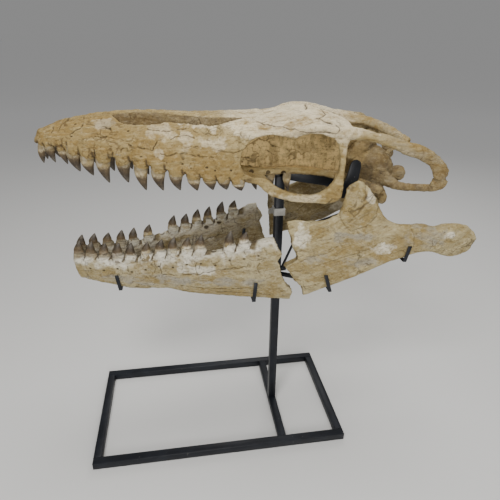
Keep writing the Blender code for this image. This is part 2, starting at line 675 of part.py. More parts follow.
def cranium_bones(cranium):
    """The cranium sawn into its bones, each under its own name."""
    bones = {}
    bones["premaxilla"], rest = sawn(cranium, "premaxilla")
    snout, rear = sawn(rest, "snout")
    for name, side in SIDES:
        flank, snout = sawn(snout, "internarial bar", side)
        bones["prefrontal_" + name], bones["maxilla_" + name] = sawn(flank, "prefrontal")
    bones["internarial_bar"] = snout
    back, front = sawn(rear, "temple")
    top, under = sawn(front, "roof")
    for name, side in SIDES:
        bones["postorbitofrontal_" + name], top = sawn(top, "orbit's rim", side)
        cheek, under = sawn(under, "cheek", side)
        bones["postorbital_bar_" + name], bones["jugal_" + name] = sawn(cheek, "jugal")
    bones["frontal"], bones["palate"] = top, under
    for name, side in SIDES:
        arcade, back = sawn(back, "arcade", side)
        bones["suspensorium_" + name], bones["squamosal_" + name] = sawn(arcade, "suspensorium")
    bones["braincase"], top = sawn(back, "braincase")
    for name, side in SIDES:
        bones["parietal_ramus_" + name], top = sawn(top, "parietal ramus", side)
    bones["parietal"] = top
    return bones


def make_cranium():
    bones = cranium_bones(whole_cranium())
    front = [t for _, side in SIDES for t in upper_teeth(side, range(FIRST_MAXILLARY_TOOTH))]
    bones["premaxilla"] = with_teeth(largest(bones["premaxilla"]), front)
    for name, side in SIDES:
        row = upper_teeth(side, range(FIRST_MAXILLARY_TOOTH, len(UPPER_TIPS)))
        key = "maxilla_" + name
        bones[key] = with_teeth(largest(bones[key]), row)
    for name, bone in bones.items():
        finish_bone(bone, name)


# ---- Lower jaw ---------------------------------------------------------------------------------------

def broken(side, line, keep_front):
    """A cutter whose jagged face is the break, and whose bulk lies on the side that is lost."""
    beyond = 0.5 if keep_front else -0.5
    outline = list(line) + [(beyond, line[-1][1]), (beyond, line[0][1])]
    return prism(outline, side * 0.02, side * 0.30)


def make_dentary(name, side):
    low, high = course(DENTARY_LOW), course(DENTARY_HIGH)
    thick = course(((-0.474, 0.007), (-0.455, 0.010), (-0.300, 0.012), (-0.100, 0.0125), (0.01, 0.011)))
    xs = np.concatenate([[-0.474, -0.471, -0.465], np.linspace(-0.455, 0.008, 34)])
    body = slab(side, xs, jaw_width, low, high, thick, thick)
    body = boolean(body, broken(side, DENTARY_BREAK, True), "DIFFERENCE")
    body = largest(thinned(softened(fused(body)), ROUGH["dentary"]))
    finish_bone(with_teeth(body, lower_teeth(name, side, high)), "dentary_" + name)


def make_ramus(name, side):
    """The jaw's rear piece: surangular, with the coronoid's blade above and the articular behind."""
    end = RAMUS_END[name]
    low_edge, high_edge = course(RAMUS_LOW[name]), course(RAMUS_HIGH)
    worn = RAMUS_HIGH[-1][0] > end

    def pinch(x):
        """Rounds off a tail that is broken short."""
        return math.sqrt(min(1.0, max(0.0, (end - x) / WORN_LENGTH))) if worn else 1.0

    def low(x):
        middle = (low_edge(x) + high_edge(x)) / 2
        return middle + (low_edge(x) - middle) * pinch(x)

    def high(x):
        middle = (low_edge(x) + high_edge(x)) / 2
        return middle + (high_edge(x) - middle) * pinch(x)

    thick_low = course(((-0.014, 0.010), (0.10, 0.012), (0.25, 0.012), (0.35, 0.015), (0.425, 0.008)))
    thick_high = course(((-0.014, 0.010), (0.090, 0.010), (0.130, 0.006), (0.190, 0.008),
                         (0.250, 0.012), (0.350, 0.015), (0.425, 0.008)))
    xs = np.concatenate([np.linspace(-0.014, 0.096, 14), np.linspace(0.101, 0.135, 12),
                         np.linspace(0.144, end - 0.020, 28), end - np.array([0.012, 0.005, 0.0004])])
    body = slab(side, xs, jaw_width, low, high, thick_low, thick_high)
    body = boolean(body, broken(side, RAMUS_BREAK[name], False), "DIFFERENCE")
    body = thinned(softened(fused(body)), ROUGH["ramus"])
    blade, rest = sawn(body, "coronoid")
    tail, middle = sawn(rest, "articular")
    finish_bone(blade, "coronoid_" + name)
    finish_bone(tail, "articular_" + name)
    finish_bone(middle, "surangular_" + name)


# ---- Stand -------------------------------------------------------------------------------------------

def make_base():
    half = BASE_WIDTH / 2
    finish(box((BASE_FRONT, -half, 0), (BASE_BACK, -half + TUBE, TUBE)), "stand_rail_left", "steel")
    finish(box((BASE_FRONT, half - TUBE, 0), (BASE_BACK, half, TUBE)), "stand_rail_right", "steel")
    reach = half - TUBE - GAP
    for name, x in (("front", BASE_FRONT), ("middle", -TUBE / 2), ("rear", BASE_BACK - TUBE)):
        finish(box((x, -reach, 0), (x + TUBE, reach, TUBE)), "stand_crossbar_" + name, "steel")


def make_post():
    half = TUBE / 2
    finish(box((-half, -half, TUBE + GAP), (half, half, POST_TOP)), "stand_post", "steel")


def bar_between(start, end, width, height):
    """A straight bar of rectangular section whose ends are cut square to X."""
    rings = []
    for x, y, z in (start, end):
        rings.append([(x, y + a * width / 2, z + b * height / 2)
                      for a, b in ((-1, -1), (1, -1), (1, 1), (-1, 1))])
    return loft(rings)


def arm(clearance=0.0):
    """The arm from the post's head back under the braincase, or the slot that it lies in."""
    (start_x, start_z), (end_x, end_z) = ARM_START, ARM_FINISH
    return bar_between((start_x - clearance, 0, start_z), (end_x + clearance, 0, end_z),
                       ARM_WIDTH + 2 * clearance, ARM_DEPTH + 2 * clearance)


def make_cradle():
    """Two upright plates beside the braincase on a bar under the arm's end."""
    outer = CRADLE_SPREAD + CRADLE_THICKNESS / 2
    inner = CRADLE_SPREAD - CRADLE_THICKNESS / 2
    for name, side in SIDES:
        finish(prism(CRADLE, side * inner, side * outer), "stand_cradle_" + name, "steel")
    (front, level_z), (back, _) = CRADLE[0], CRADLE[1]
    reach = inner - GAP
    finish(box((front, -reach, level_z), (back, reach, level_z + CRADLE_THICKNESS)),
           "stand_cradle_bar", "steel")


def straight(x_first, value_first, x_last, value_last):
    """The value at any x on the line through two points."""
    slope = (value_last - value_first) / (x_last - x_first)
    return lambda x: value_first + slope * (x - x_first)


def hook_sole(x, low):
    return min(low(x - HOOK_WIDTH / 2), low(x + HOOK_WIDTH / 2)) - HOOK_CLEARANCE


def hook(side, x, low, height, lean, rail_across, inner_height):
    """A finger that reaches from the rail under the jaw and up its outer face, at times its inner too."""
    inner = max(rail_across(x - HOOK_WIDTH / 2), rail_across(x + HOOK_WIDTH / 2)) + RAIL / 2 + GAP
    face = jaw_width(x) + JAW_HALF_THICKNESS + HOOK_CLEARANCE / 2
    sole = hook_sole(x, low)
    foot, top = sole - HOOK_THICKNESS, sole + height
    outline = [(inner, foot), (face + HOOK_THICKNESS, foot), (face + HOOK_THICKNESS, top),
               (face, top), (face, sole)]
    if inner_height:
        back = jaw_width(x) - JAW_HALF_THICKNESS - HOOK_CLEARANCE / 2
        outline += [(back, sole), (back, sole + inner_height), (back - HOOK_THICKNESS, sole + inner_height),
                    (back - HOOK_THICKNESS, sole)]
    outline.append((inner, sole))
    rings = []
    for edge in (-HOOK_WIDTH / 2, HOOK_WIDTH / 2):
        ring = []
        for y, z in outline:
            ring.append((x + edge + lean * (z - foot) / height, side * y, z))
        rings.append(ring)
    return loft(rings)


def make_jaw_supports():
    """To each piece of jaw a strut out from the post, then a rail along it with two hooks."""
    for name, side in SIDES:
        for piece, hooks, low in (("dentary", DENTARY_HOOKS, course(DENTARY_LOW)),
                                  ("ramus", RAMUS_HOOKS, course(RAMUS_LOW[name]))):
            near, far = sorted((row[0] for row in hooks), key=abs)
            across = straight(near, jaw_width(near) - RAIL_INSET, far, jaw_width(far) - RAIL_INSET)
            drop = RAIL / 2 - HOOK_THICKNESS
            level = straight(near, hook_sole(near, low) + drop, far, hook_sole(far, low) + drop)
            ahead = math.copysign(1, far)
            start, end = near - ahead * HOOK_WIDTH / 2, far + ahead * HOOK_WIDTH / 2
            rail = bar_between((start, side * across(start), level(start)),
                               (end, side * across(end), level(end)), RAIL, RAIL)
            finish(rail, f"stand_rail_{piece}_{name}", "steel")
            strut = bar_between((ahead * (TUBE / 2 + GAP), side * (RAIL / 2 + GAP), STRUT_LEVEL),
                                (start - ahead * GAP, side * across(start), level(start)), RAIL, RAIL)
            finish(strut, f"stand_strut_{piece}_{name}", "steel")
            for number, (x, height, lean) in enumerate(hooks, 1):
                second = INNER_FINGERS.get((piece, name, number), 0.0)
                finish(hook(side, x, low, height, lean, across, second),
                       f"stand_hook_{piece}_{name}_{number}", "steel")


def make_bolt():
    shape = bmesh.new()
    bmesh.ops.create_cone(shape, cap_ends=True, segments=6, radius1=BOLT_RADIUS, radius2=BOLT_RADIUS,
                          depth=BOLT_LENGTH)
    turn = Matrix.Rotation(math.radians(90), 4, "Y")
    place = Matrix.Translation((TUBE / 2 + GAP + BOLT_LENGTH / 2, 0, BOLT_LEVEL))
    bmesh.ops.transform(shape, matrix=place @ turn, verts=shape.verts)
    mesh = bpy.data.meshes.new("bolt")
    shape.to_mesh(mesh)
    shape.free()
    finish(new_object("bolt", mesh), "stand_bolt", "steel")


def make_strap():
    """A band round the post whose tail ties the front of the right jaw's rear piece."""
    hole = TUBE / 2 + GAP
    outer = hole + STRAP_THICKNESS
    low, high = STRAP_LEVEL - STRAP_HEIGHT / 2, STRAP_LEVEL + STRAP_HEIGHT / 2
    band = box((-outer, -outer, low), (outer, outer, high))
    x, y, z = STRAP_END
    rings = []
    for place_y, level_z in ((hole + STRAP_THICKNESS / 2, STRAP_LEVEL), (y, z)):
        rings.append([(x + a * STRAP_THICKNESS / 2, place_y, level_z + b * STRAP_HEIGHT / 2.2)
                      for a, b in ((-1, -1), (1, -1), (1, 1), (-1, 1))])
    band = boolean(band, loft(rings), "UNION")
    band = boolean(band, box((-hole, -hole, low - 1), (hole, hole, high + 1)), "DIFFERENCE")
    finish(band, "stand_strap", "strap")


for old in list(bpy.data.objects):
    bpy.data.objects.remove(old)

make_cranium()
for side_name, side_sign in SIDES:
    make_dentary(side_name, side_sign)
    make_ramus(side_name, side_sign)
make_base()
make_post()
finish(arm(), "stand_arm", "steel")
make_cradle()
make_jaw_supports()
make_bolt()
make_strap()
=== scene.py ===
"""A mosasaur's fossil skull on its steel stand: fine bone surface, teeth, painted steel and studio."""

import math

import bmesh
import bpy
import numpy as np
from mathutils import Matrix, Vector


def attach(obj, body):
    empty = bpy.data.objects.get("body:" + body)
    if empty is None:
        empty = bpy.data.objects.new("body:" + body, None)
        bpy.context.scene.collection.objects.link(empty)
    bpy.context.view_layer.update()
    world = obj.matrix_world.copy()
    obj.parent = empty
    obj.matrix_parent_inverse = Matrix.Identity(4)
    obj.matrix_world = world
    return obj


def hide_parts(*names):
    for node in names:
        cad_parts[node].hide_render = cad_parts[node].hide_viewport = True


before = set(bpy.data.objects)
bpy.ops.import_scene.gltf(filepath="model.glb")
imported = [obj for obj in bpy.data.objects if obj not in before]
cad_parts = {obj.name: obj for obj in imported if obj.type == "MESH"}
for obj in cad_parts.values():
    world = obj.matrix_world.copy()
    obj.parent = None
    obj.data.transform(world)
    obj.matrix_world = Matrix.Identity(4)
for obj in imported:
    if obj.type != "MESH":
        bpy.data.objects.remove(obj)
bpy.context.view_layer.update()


def mm(*rows):
    """Millimetres, in rows however nested, as metres."""
    return tuple(mm(*row) if isinstance(row, tuple) else row / 1000 for row in rows)


SIDES = (("left", -1), ("right", 1))
COARSE, FINE = 0.0026, 0.0017      # voxel sizes: before the openings are cut, and of the finished bone
SOFTENING = 3                      # rounds of smoothing on the finished bone
FAR = 9.0                          # beyond every distance measured here

# Lines of the cranium as (x, z) and of its half width as (x, y)
ROOF_LINE = mm((-514, 772), (-505, 788), (-485, 800), (-455, 810), (-408, 819), (-350, 825), (-279, 827),
                (-198, 821), (-114, 818), (-43, 819), (-10, 824), (22, 833), (55, 835), (85, 830),
                (125, 817))
GUM_LINE = mm((-514, 766), (-488, 765), (-460, 763), (-415, 749), (-350, 741), (-277, 725), (-212, 709),
               (-150, 703), (-90, 694), (-45, 690))
CRANIUM_WIDTH = mm((-514, 6), (-507, 18), (-490, 29), (-450, 41), (-350, 60), (-250, 78), (-150, 96),
                    (-50, 112), (50, 126), (120, 133), (220, 134), (340, 130))
DOME_ACROSS = ((-0.514, 1.7), (-0.400, 1.5), (-0.260, 1.6), (-0.180, 2.2), (-0.110, 3.6), (-0.045, 4.0))
ROOF_SHOULDER = ((-0.128, 0.84), (-0.108, 0.91), (-0.085, 0.985), (-0.060, 1.0), (0.119, 1.0))
DOME_UPWARD = ((-0.514, 1.9), (-0.260, 1.9), (-0.180, 2.2), (-0.110, 3.4), (-0.045, 3.8))
ORBIT = mm((-105, 745), (-102, 722), (-84, 709), (-55, 705), (-34, 688), (10, 672), (58, 671), (80, 690),
            (91, 712), (94, 745), (84, 777), (50, 793), (22, 794), (0, 785), (-20, 789), (-50, 792),
            (-85, 779))
JUGAL_EDGE = mm((-100, 694), (-68, 688), (-48, 669), (-10, 657), (45, 651), (80, 651), (98, 657),
                 (105, 664))
SEPTUM_EDGE = mm((-115, 698), (-70, 684), (0, 682), (60, 680), (130, 672), (190, 668))
SEPTUM_THICKNESS = 0.023
# Each nostril from front to rear: x, its inner and its outer edge, and its depth
NARIS = mm((-356, 10, 13, 7), (-347, 9, 18.5, 22), (-338, 8.5, 26.8, 36), (-325, 8, 33.8, 44),
            (-303, 8, 37.2, 46), (-271, 10, 39, 46), (-235, 15, 37.5, 44), (-200, 21.5, 44, 44),
            (-174, 28.5, 52.3, 42), (-148, 34, 62.5, 36), (-130, 36.5, 64, 28), (-112, 40, 59.5, 18),
            (-94, 45.5, 53, 8))

# Tooth tips of one side, front to back, as (x, z)
UPPER_TIPS = mm((-500, 726), (-476, 728), (-451, 725), (-428, 711), (-402, 703), (-371, 688), (-332, 689),
                 (-297, 673), (-262, 673), (-227, 674), (-192, 674), (-160, 676), (-132, 677), (-102, 675))
LOWER_TIPS = mm((-457, 549), (-430, 548), (-400, 545), (-370, 547), (-342, 549), (-306, 552), (-274, 560),
                 (-246, 567), (-216, 567), (-187, 575), (-158, 578), (-124, 587), (-92, 586))
LOST_TEETH = {"left": (10,), "right": (6,)}
FIRST_MAXILLARY_TOOTH = 2
# Radius of a tooth's root in the snout's tip, the rest of the upper row, the lower row and the palate
FRONT_ROOT, UPPER_ROOT, LOWER_ROOT, PALATE_ROOT = 0.0095, 0.0148, 0.0128, 0.010
SMALL_FRONT_TEETH = 3
UPPER_LEAN, LOWER_LEAN = 0.006, 0.004
UPPER_ROW_INSET = 0.011
PALATE_TOOTH_TIPS = mm((-58, 652), (-21, 650), (16, 646))
PALATE_ROW, PALATE_ROOT_LEVEL = 0.020, 0.690

# Cracks and creases as (x, z) along them: width, then the points
SNOUT_LINES = mm(
    (1.4, ((-473.5, 789), (-470, 798), (-460, 807), (-444, 818), (-427, 825))),
    (1.3, ((-436, 786), (-429, 791), (-418, 795), (-411, 801), (-408, 809), (-410, 815))),
    (1.3, ((-404, 803), (-395, 803), (-383, 801), (-363, 798), (-343, 791))),
    (1.1, ((-428, 819), (-438, 814), (-454, 803), (-458, 794))),
    (1.1, ((-378, 781), (-365, 783), (-352, 779), (-338, 778))),
    (1.7, ((-323, 768), (-314, 767), (-303, 763), (-291, 760), (-276, 759), (-273, 766), (-268, 774))),
    (1.2, ((-284, 797), (-269, 793), (-249, 791), (-232, 794), (-209, 796))),
    (1.4, ((-261, 752), (-249, 748), (-241, 751), (-219, 753), (-202, 750), (-186, 747), (-158, 746))),
    (1.2, ((-241, 778), (-228, 782), (-209, 784), (-193, 780))),
    (1.1, ((-195, 792), (-160, 787), (-128, 790))),
    (1.1, ((-150, 760), (-120, 757), (-100, 762))))
SNOUT_HOLES = mm((-188, 750), (-496, 794), (-409, 810), (-385, 815), (-401, 791), (-393, 786), (-447, 795),
                  (-430, 809), (-399, 802), (-358, 812))
ROOF_SEAM = mm((-75, 813), (-50, 806), (-4, 802), (32, 798), (79, 795), (86, 803), (82, 810), (57, 816))
# Slits between upper teeth: the tooth in front, and how far each rises above the gum
TOOTH_SLITS = ((2, 0.012), (4, 0.014), (5, 0.013), (7, 0.007), (9, 0.006))
SEPTUM_NOTCHES = mm((-72, 700), (-34, 694.5), (1, 692))
# Plaster and bleached bone: seed, place as (x, z, half width, half height) in millimetres, and strength
PLASTER = ((1, (-262, 794, 26, 14), 0.62), (2, (-212, 778, 12, 20), 0.62), (4, (-60, 802, 85, 18), 0.9),
           (5, (60, 803, 80, 18), 0.9), (6, (-262, 750, 9, 8), 0.62), (7, (-150, 772, 26, 12), 0.62),
           (8, (20, 826, 60, 20), 0.9), (9, (105, 790, 20, 30), 0.62), (10, (-10, 662, 60, 12), 0.62),
           (12, (-180, 806, 30, 10), 0.9))
DENTARY_LINES = mm(
    (1.1, ((-201, 513), (-203, 500), (-201, 486))),
    (1.1, ((-194, 507), (-196, 495), (-197, 484))),
    (1.1, ((-279, 508), (-282, 494), (-280, 480))),
    (1, ((-295, 504), (-293, 492), (-297, 481))),
    (1.1, ((-355, 495), (-352, 479))),
    (1, ((-230, 512), (-233, 492))),
    (1.1, ((-126, 529), (-129, 519), (-125, 509))),
    (1.1, ((-67, 519), (-70, 506), (-66, 494))),
    (1.1, ((-98, 545), (-94, 530), (-80, 522), (-60, 527))),
    (1.5, ((-296, 471), (-289, 473), (-266, 479), (-238, 479), (-196, 485), (-154, 497), (-126, 502),
           (-94, 506))),
    (1.1, ((-240, 452), (-190, 447), (-130, 450), (-60, 452))),
    (1.1, ((-160, 438), (-100, 441), (-40, 436))))
RAMUS_LINES = mm(
    (1.3, ((12, 558), (33, 570), (60, 573), (92, 576))),
    (1.3, ((17, 519), (41, 534), (73, 540), (99, 558), (125, 566))),
    (1.5, ((2, 497), (37, 503), (69, 518), (107, 530), (145, 541), (177, 553), (197, 567))),
    (1.4, ((32, 458), (68, 468), (101, 474), (133, 492), (166, 507), (185, 515))),
    (2, ((146, 692), (149, 673), (145, 652), (134, 632), (112, 610))),
    (1.3, ((259, 594), (267, 579), (269, 552))),
    (1.4, ((330, 587), (338, 576), (343, 565))),
    (1.1, ((205, 575), (232, 572), (252, 576))))
CREST_LINE = RAMUS_LINES[4][1]
# Stains of the jaws: mask, place as (x, z, half width, half height) in millimetres, raggedness and strength
DENTARY_STAINS = (("tan", (-425, 476, 38, 13), 0.5, 0.9), ("tan", (-300, 500, 60, 10), 0.7, 0.6),
                  ("tan", (-110, 441, 125, 14), 0.4, 1.0), ("grey", (-300, 463, 110, 13), 0.5, 1.0),
                  ("grey", (-140, 468, 80, 10), 0.6, 1.0), ("pale", (-200, 494, 50, 10), 0.6, 0.8))
# Mask, raggedness and strength, then seed and place of each
RAMUS_STAINS = (
    ("tan", 0.5, 1.0, ((22, 55, 592, 20, 13),)),
    ("tan", 0.4, 1.0, ((23, 122, 550, 34, 11),)),
    ("tan", 0.6, 0.85, ((24, 104, 514, 34, 10), (29, 120, 690, 14, 14), (31, 100, 480, 80, 8),
                        (32, 30, 505, 30, 12), (33, 150, 640, 20, 40), (34, 225, 555, 30, 18))),
    ("brown", 0.5, 0.8, ((35, 117, 695, 7, 12),)),
    ("grey", 0.6, 1.0, ((25, 128, 578, 48, 13), (26, 60, 530, 30, 10), (36, 290, 575, 40, 28),
                        (37, 160, 520, 40, 12))),
    ("pale", 0.6, 0.9, ((27, 22, 578, 18, 34), (28, 348, 578, 13, 8), (38, 160, 668, 9, 12),
                        (39, 200, 548, 26, 12))))
# Open sockets inside the jaw's rim, as (x, z), each a shallow dent darkened as painted shade
SOCKET_HOLES = mm((-167.5, 527), (-134, 535), (-101, 553))
# Outline of the coronoid's wing where it laps over the bone below
CORONOID_WING = mm((126, 720), (150, 700), (168, 672), (176, 648), (177, 626), (156, 604), (126, 595),
                    (120, 600), (108, 612), (100, 622), (98, 700))

# Lower jaw: (x, y) of its middle, then each piece's lower and upper edges as (x, z)
JAW_WIDTH = mm((-474, 14), (-400, 31), (-290, 56), (-190, 80), (-90, 103), (0, 121), (100, 135),
                (200, 142), (300, 145), (425, 141))
DENTARY_LOW = mm((-474, 490), (-470, 468), (-456, 457), (-420, 449), (-363, 437), (-300, 436), (-257, 437),
                  (-229, 432), (-119, 426), (10, 422))
DENTARY_HIGH = mm((-474, 506), (-460, 510), (-336, 512), (-265, 527), (-200, 536), (-155, 540),
                   (-106, 552), (-80, 559), (-55, 571), (-30, 573), (10, 574))
RAMUS_LOW = {"left": mm((-14, 420), (42, 435), (99, 459), (144, 477), (200, 505), (247, 523), (300, 537),
                         (330, 527), (370, 518), (395, 520), (415, 532), (425, 552)),
             "right": mm((-14, 472), (42, 482), (115, 500), (160, 509), (207, 531), (247, 540), (300, 541),
                          (350, 534))}
RAMUS_HIGH = mm((-14, 612), (10, 617), (60, 614), (90, 626), (102, 637), (107, 660), (111, 684),
                 (120, 697), (131, 703), (150, 692), (170, 670), (190, 633), (216, 610), (263, 602),
                 (293, 600), (316, 592), (342, 597), (372, 595), (400, 586), (418, 572), (425, 558))
RAMUS_END = {"left": 0.4254, "right": 0.329}
ROOF_CREVICES = mm(
    (1.6, ((47, -9), (43, -34), (37, -56))),
    (1.4, ((55, -10), (70, -48), (71, -79), (50, -102))),
    (5.5, ((79, -43), (92, -41), (104, -50))),
    (1.9, ((47, -98), (61, -108), (73, -111))),
    (1.2, ((-50, 12), (-10, 30), (30, 24), (62, 40))))
WORN_LENGTH = 0.022
DENTARY_BREAK = mm((-26, 620), (-34, 568), (-24, 548), (-18, 538), (-26, 523), (-19, 503), (-14, 482),
                    (-4, 463), (6, 451), (7, 400))
RAMUS_BREAK = {"left": mm((-6, 660), (-10, 601), (-2, 580), (4, 563), (13, 544), (17, 526), (-6, 512),
                           (-11, 505), (4, 493), (14, 474), (30, 458), (38, 420)),
               "right": mm((-3, 660), (1, 603), (-2, 567), (3, 526), (6, 490), (9, 420))}


# ---- Shaping ------------------------------------------------------------------------------------------

def course(stations):
    """A smooth function through (x, value) stations, level beyond both ends."""
    xs, values = np.array(stations, float).T
    slopes = np.gradient(values, xs)

    def at(x):
        x = np.clip(x, xs[0], xs[-1])
        i = np.clip(np.searchsorted(xs, x) - 1, 0, len(xs) - 2)
        step = xs[i + 1] - xs[i]
        t = (x - xs[i]) / step
        return (values[i] * (1 + 2 * t) * (1 - t) ** 2 + values[i + 1] * t * t * (3 - 2 * t)
                + slopes[i] * step * t * (1 - t) ** 2 - slopes[i + 1] * step * t * t * (1 - t))
    return at


roof_line = course(ROOF_LINE)
roof_shoulder = course(ROOF_SHOULDER)
across_power, upward_power = course(DOME_ACROSS), course(DOME_UPWARD)
gum_line = course(GUM_LINE)
cranium_width = course(CRANIUM_WIDTH)
jugal_edge = course(JUGAL_EDGE)
septum_edge = course(SEPTUM_EDGE)
jaw_width = course(JAW_WIDTH)
dentary_low, dentary_high = course(DENTARY_LOW), course(DENTARY_HIGH)


def power(value, exponent):
    """A power that keeps the sign."""
    return math.copysign(abs(value) ** exponent, value)


def thing_from(name, data):
    """An object in the scene with the given mesh, lamp or camera."""
    thing = bpy.data.objects.new(name, data)
    bpy.context.scene.collection.objects.link(thing)
    return thing


def discard(thing):
    bpy.data.objects.remove(thing)


def shaped(name, skin):
    """The bmesh as an object."""
    mesh = bpy.data.meshes.new(name)
    skin.to_mesh(mesh)
    skin.free()
    return thing_from(name, mesh)


def loft(*bodies, name="shape"):
    """Closed solids in one object, each through rings of equally many points and capped at both ends."""
    skin = bmesh.new()
    for rings in bodies:
        rows = [[skin.verts.new(point) for point in ring] for ring in rings]
        skin.faces.new(rows[0][::-1])
        for row, after in zip(rows, rows[1:]):
            for j in range(len(row)):
                k = (j + 1) % len(row)
                skin.faces.new((row[j], row[k], after[k], after[j]))
        skin.faces.new(rows[-1])
    bmesh.ops.recalc_face_normals(skin, faces=skin.faces)
    return shaped(name, skin)


def squarish(sides, squareness):
    """Points (across, up) round a circle, or round a squarer shape where squareness is over 2."""
    turns = [2 * math.pi * j / sides for j in range(sides)]
    return [(power(math.cos(turn), 2 / squareness), power(math.sin(turn), 2 / squareness)) for turn in turns]


def rod(path, sizes, sides=24, squareness=2.0, up=(0, 0, 1)):
    """A tube along a path. sizes gives (half width, half height) at each of its points."""
    rings = []
    for centre, forward, (wide, high) in zip(path, np.gradient(path, axis=0), sizes):
        forward = Vector(forward).normalized()
        across = forward.cross(Vector(up)).normalized()
        upward = across.cross(forward)
        rings.append([Vector(centre) + across * wide * a + upward * high * u
                      for a, u in squarish(sides, squareness)])
    return loft(rings)


def mirrored(side, *rows):
    """Stations (x, y, ...) in millimetres, as metres on one side."""
    return [(x, side * y, *rest) for x, y, *rest in mm(*rows)]


def smooth_rod(stations, count, **style):
    """A rod through stations (x, y, z, half width, half height), with count rings."""
    given = np.array(stations, float)
    reach = np.concatenate([[0], np.cumsum(np.linalg.norm(np.diff(given[:, :3], axis=0), axis=1))])
    at = np.linspace(0, reach[-1], count)
    columns = [course(np.column_stack([reach, given[:, k]]))(at) for k in range(given.shape[1])]
    table = np.column_stack(columns)
    return rod(table[:, :3], table[:, 3:], **style)


def slab(side, xs, centre, low, high, thick_low, thick_high, sides=36, squareness=3.2):
    """An upright plate of bone along X: functions of x give its place, edges and half thicknesses."""
    rings = []
    for x in xs:
        middle, reach = (low(x) + high(x)) / 2, (high(x) - low(x)) / 2
        ring = []
        for out, rise in squarish(sides, squareness):
            thick = thick_low(x) + (thick_high(x) - thick_low(x)) * (rise + 1) / 2
            ring.append((x, side * (centre(x) + thick * out), middle + reach * rise))
        rings.append(ring)
    return loft(rings)


def level(value):
    return lambda x: value


def prism(outline, near, far):
    """An (x, z) outline drawn out along Y from near to far."""
    return loft([[(a, depth, b) for a, b in outline] for depth in (near, far)])


def smooth_loop(outline, count):
    """A closed outline rounded through its points."""
    points = np.array(outline + outline[:1], float)
    closed = np.array(outline[-3:] + outline + outline[:3], float)
    reach = np.concatenate([[0], np.cumsum(np.linalg.norm(np.diff(closed, axis=0), axis=1))])
    at = np.linspace(reach[3], reach[3 + len(points) - 1], count, endpoint=False)
    return [tuple(p) for p in np.column_stack([course(np.column_stack([reach, closed[:, k]]))(at)
                                               for k in (0, 1)])]


def joined(things):
    """Several objects as one."""
    skin = bmesh.new()
    for thing in things:
        skin.from_mesh(thing.data)
        discard(thing)
    return shaped("joined", skin)


def baked(thing):
    """The object with its modifiers applied."""
    bpy.context.view_layer.update()
    shown = thing.evaluated_get(bpy.context.evaluated_depsgraph_get())
    mesh = bpy.data.meshes.new_from_object(shown)
    discard(thing)
    return thing_from("baked", mesh)


def cut_away(thing, other):
    cut = thing.modifiers.new("cut", "BOOLEAN")
    cut.operation = "DIFFERENCE"
    cut.solver = "MANIFOLD"
    cut.object = other
    result = baked(thing)
    discard(other)
    return result


def fused(thing, voxel, rounds=0):
    """Overlapping shells made one closed skin of small faces."""
    remesh = thing.modifiers.new("fuse", "REMESH")
    remesh.mode = "VOXEL"
    remesh.voxel_size = voxel
    if rounds:
        soften = thing.modifiers.new("soften", "SMOOTH")
        soften.factor = 0.5
        soften.iterations = rounds
    return baked(thing)


# ---- Cranium's form -------------------------------------------------------------------------------------

def rostrum():
    """The snout: a dome over a hollow palate, from the tip to under the front of the orbits."""
    rings = []
    for x in np.concatenate([[-0.514, -0.512, -0.509, -0.505, -0.500, -0.494],
                             np.linspace(-0.487, -0.045, 80)]):
        wide, low, high = cranium_width(x), gum_line(x), roof_line(x)
        across, upward = across_power(x), upward_power(x)
        lip = min(0.024, wide * 0.55)
        rise = min(0.026, (high - low) * 0.4)
        ring = []
        for j in range(61):
            turn = math.pi * j / 60
            ring.append((x, wide * power(math.cos(turn), 2 / across),
                         low + (high - low) * abs(math.sin(turn)) ** (2 / upward)))
        for j in range(1, 24):
            inner = (wide - lip * 0.35) * (-1 + 2 * j / 24)
            arch = max(0.0, 1 - (abs(inner) / max(wide - lip, 1e-4)) ** 4)
            ring.append((x, inner, low + rise * arch))
        rings.append(ring)
    return loft(rings)


def skull_roof():
    """The frontal's plate, arched from side to side, out to the rims of both orbits."""
    rings = []
    for x in np.linspace(-0.128, 0.119, 50):
        wide = (float(cranium_width(x)) + 0.002) * float(roof_shoulder(x))
        reach = np.linspace(-1, 1, 41)
        top = roof_line(x) - 0.027 * abs(reach) ** 2.2
        thick = 0.018 - 0.009 * abs(reach)
        upper = [(x, wide * r, z) for r, z in zip(reach, top)]
        lower = [(x, wide * r * 0.985, z - t) for r, z, t in zip(reach[::-1], top[::-1], thick[::-1])]
        rings.append(upper + lower)
    return loft(rings)


def orbit_frame(side):
    xs = np.concatenate([np.linspace(-0.105, 0.098, 60), [0.101, 0.104]])
    return slab(side, xs, lambda x: cranium_width(x) - 0.0065, jugal_edge, level(0.800),
                level(0.0065), level(0.0065), squareness=3.6)


def septum():
    half = SEPTUM_THICKNESS / 2
    return slab(1, np.linspace(-0.115, 0.190, 50), level(0), septum_edge, level(0.806),
                level(half * 0.85), level(half), squareness=4)


def pterygoid(side):
    return smooth_rod(mirrored(side, (-130, 46, 716, 12, 9), (-60, 26, 696, 12, 9), (20, 19, 695, 12, 8),
                                     (110, 23, 684, 10, 8), (165, 29, 670, 8, 10), (195, 44, 660, 7, 10),
                                     (222, 58, 650, 5, 9)), 60)


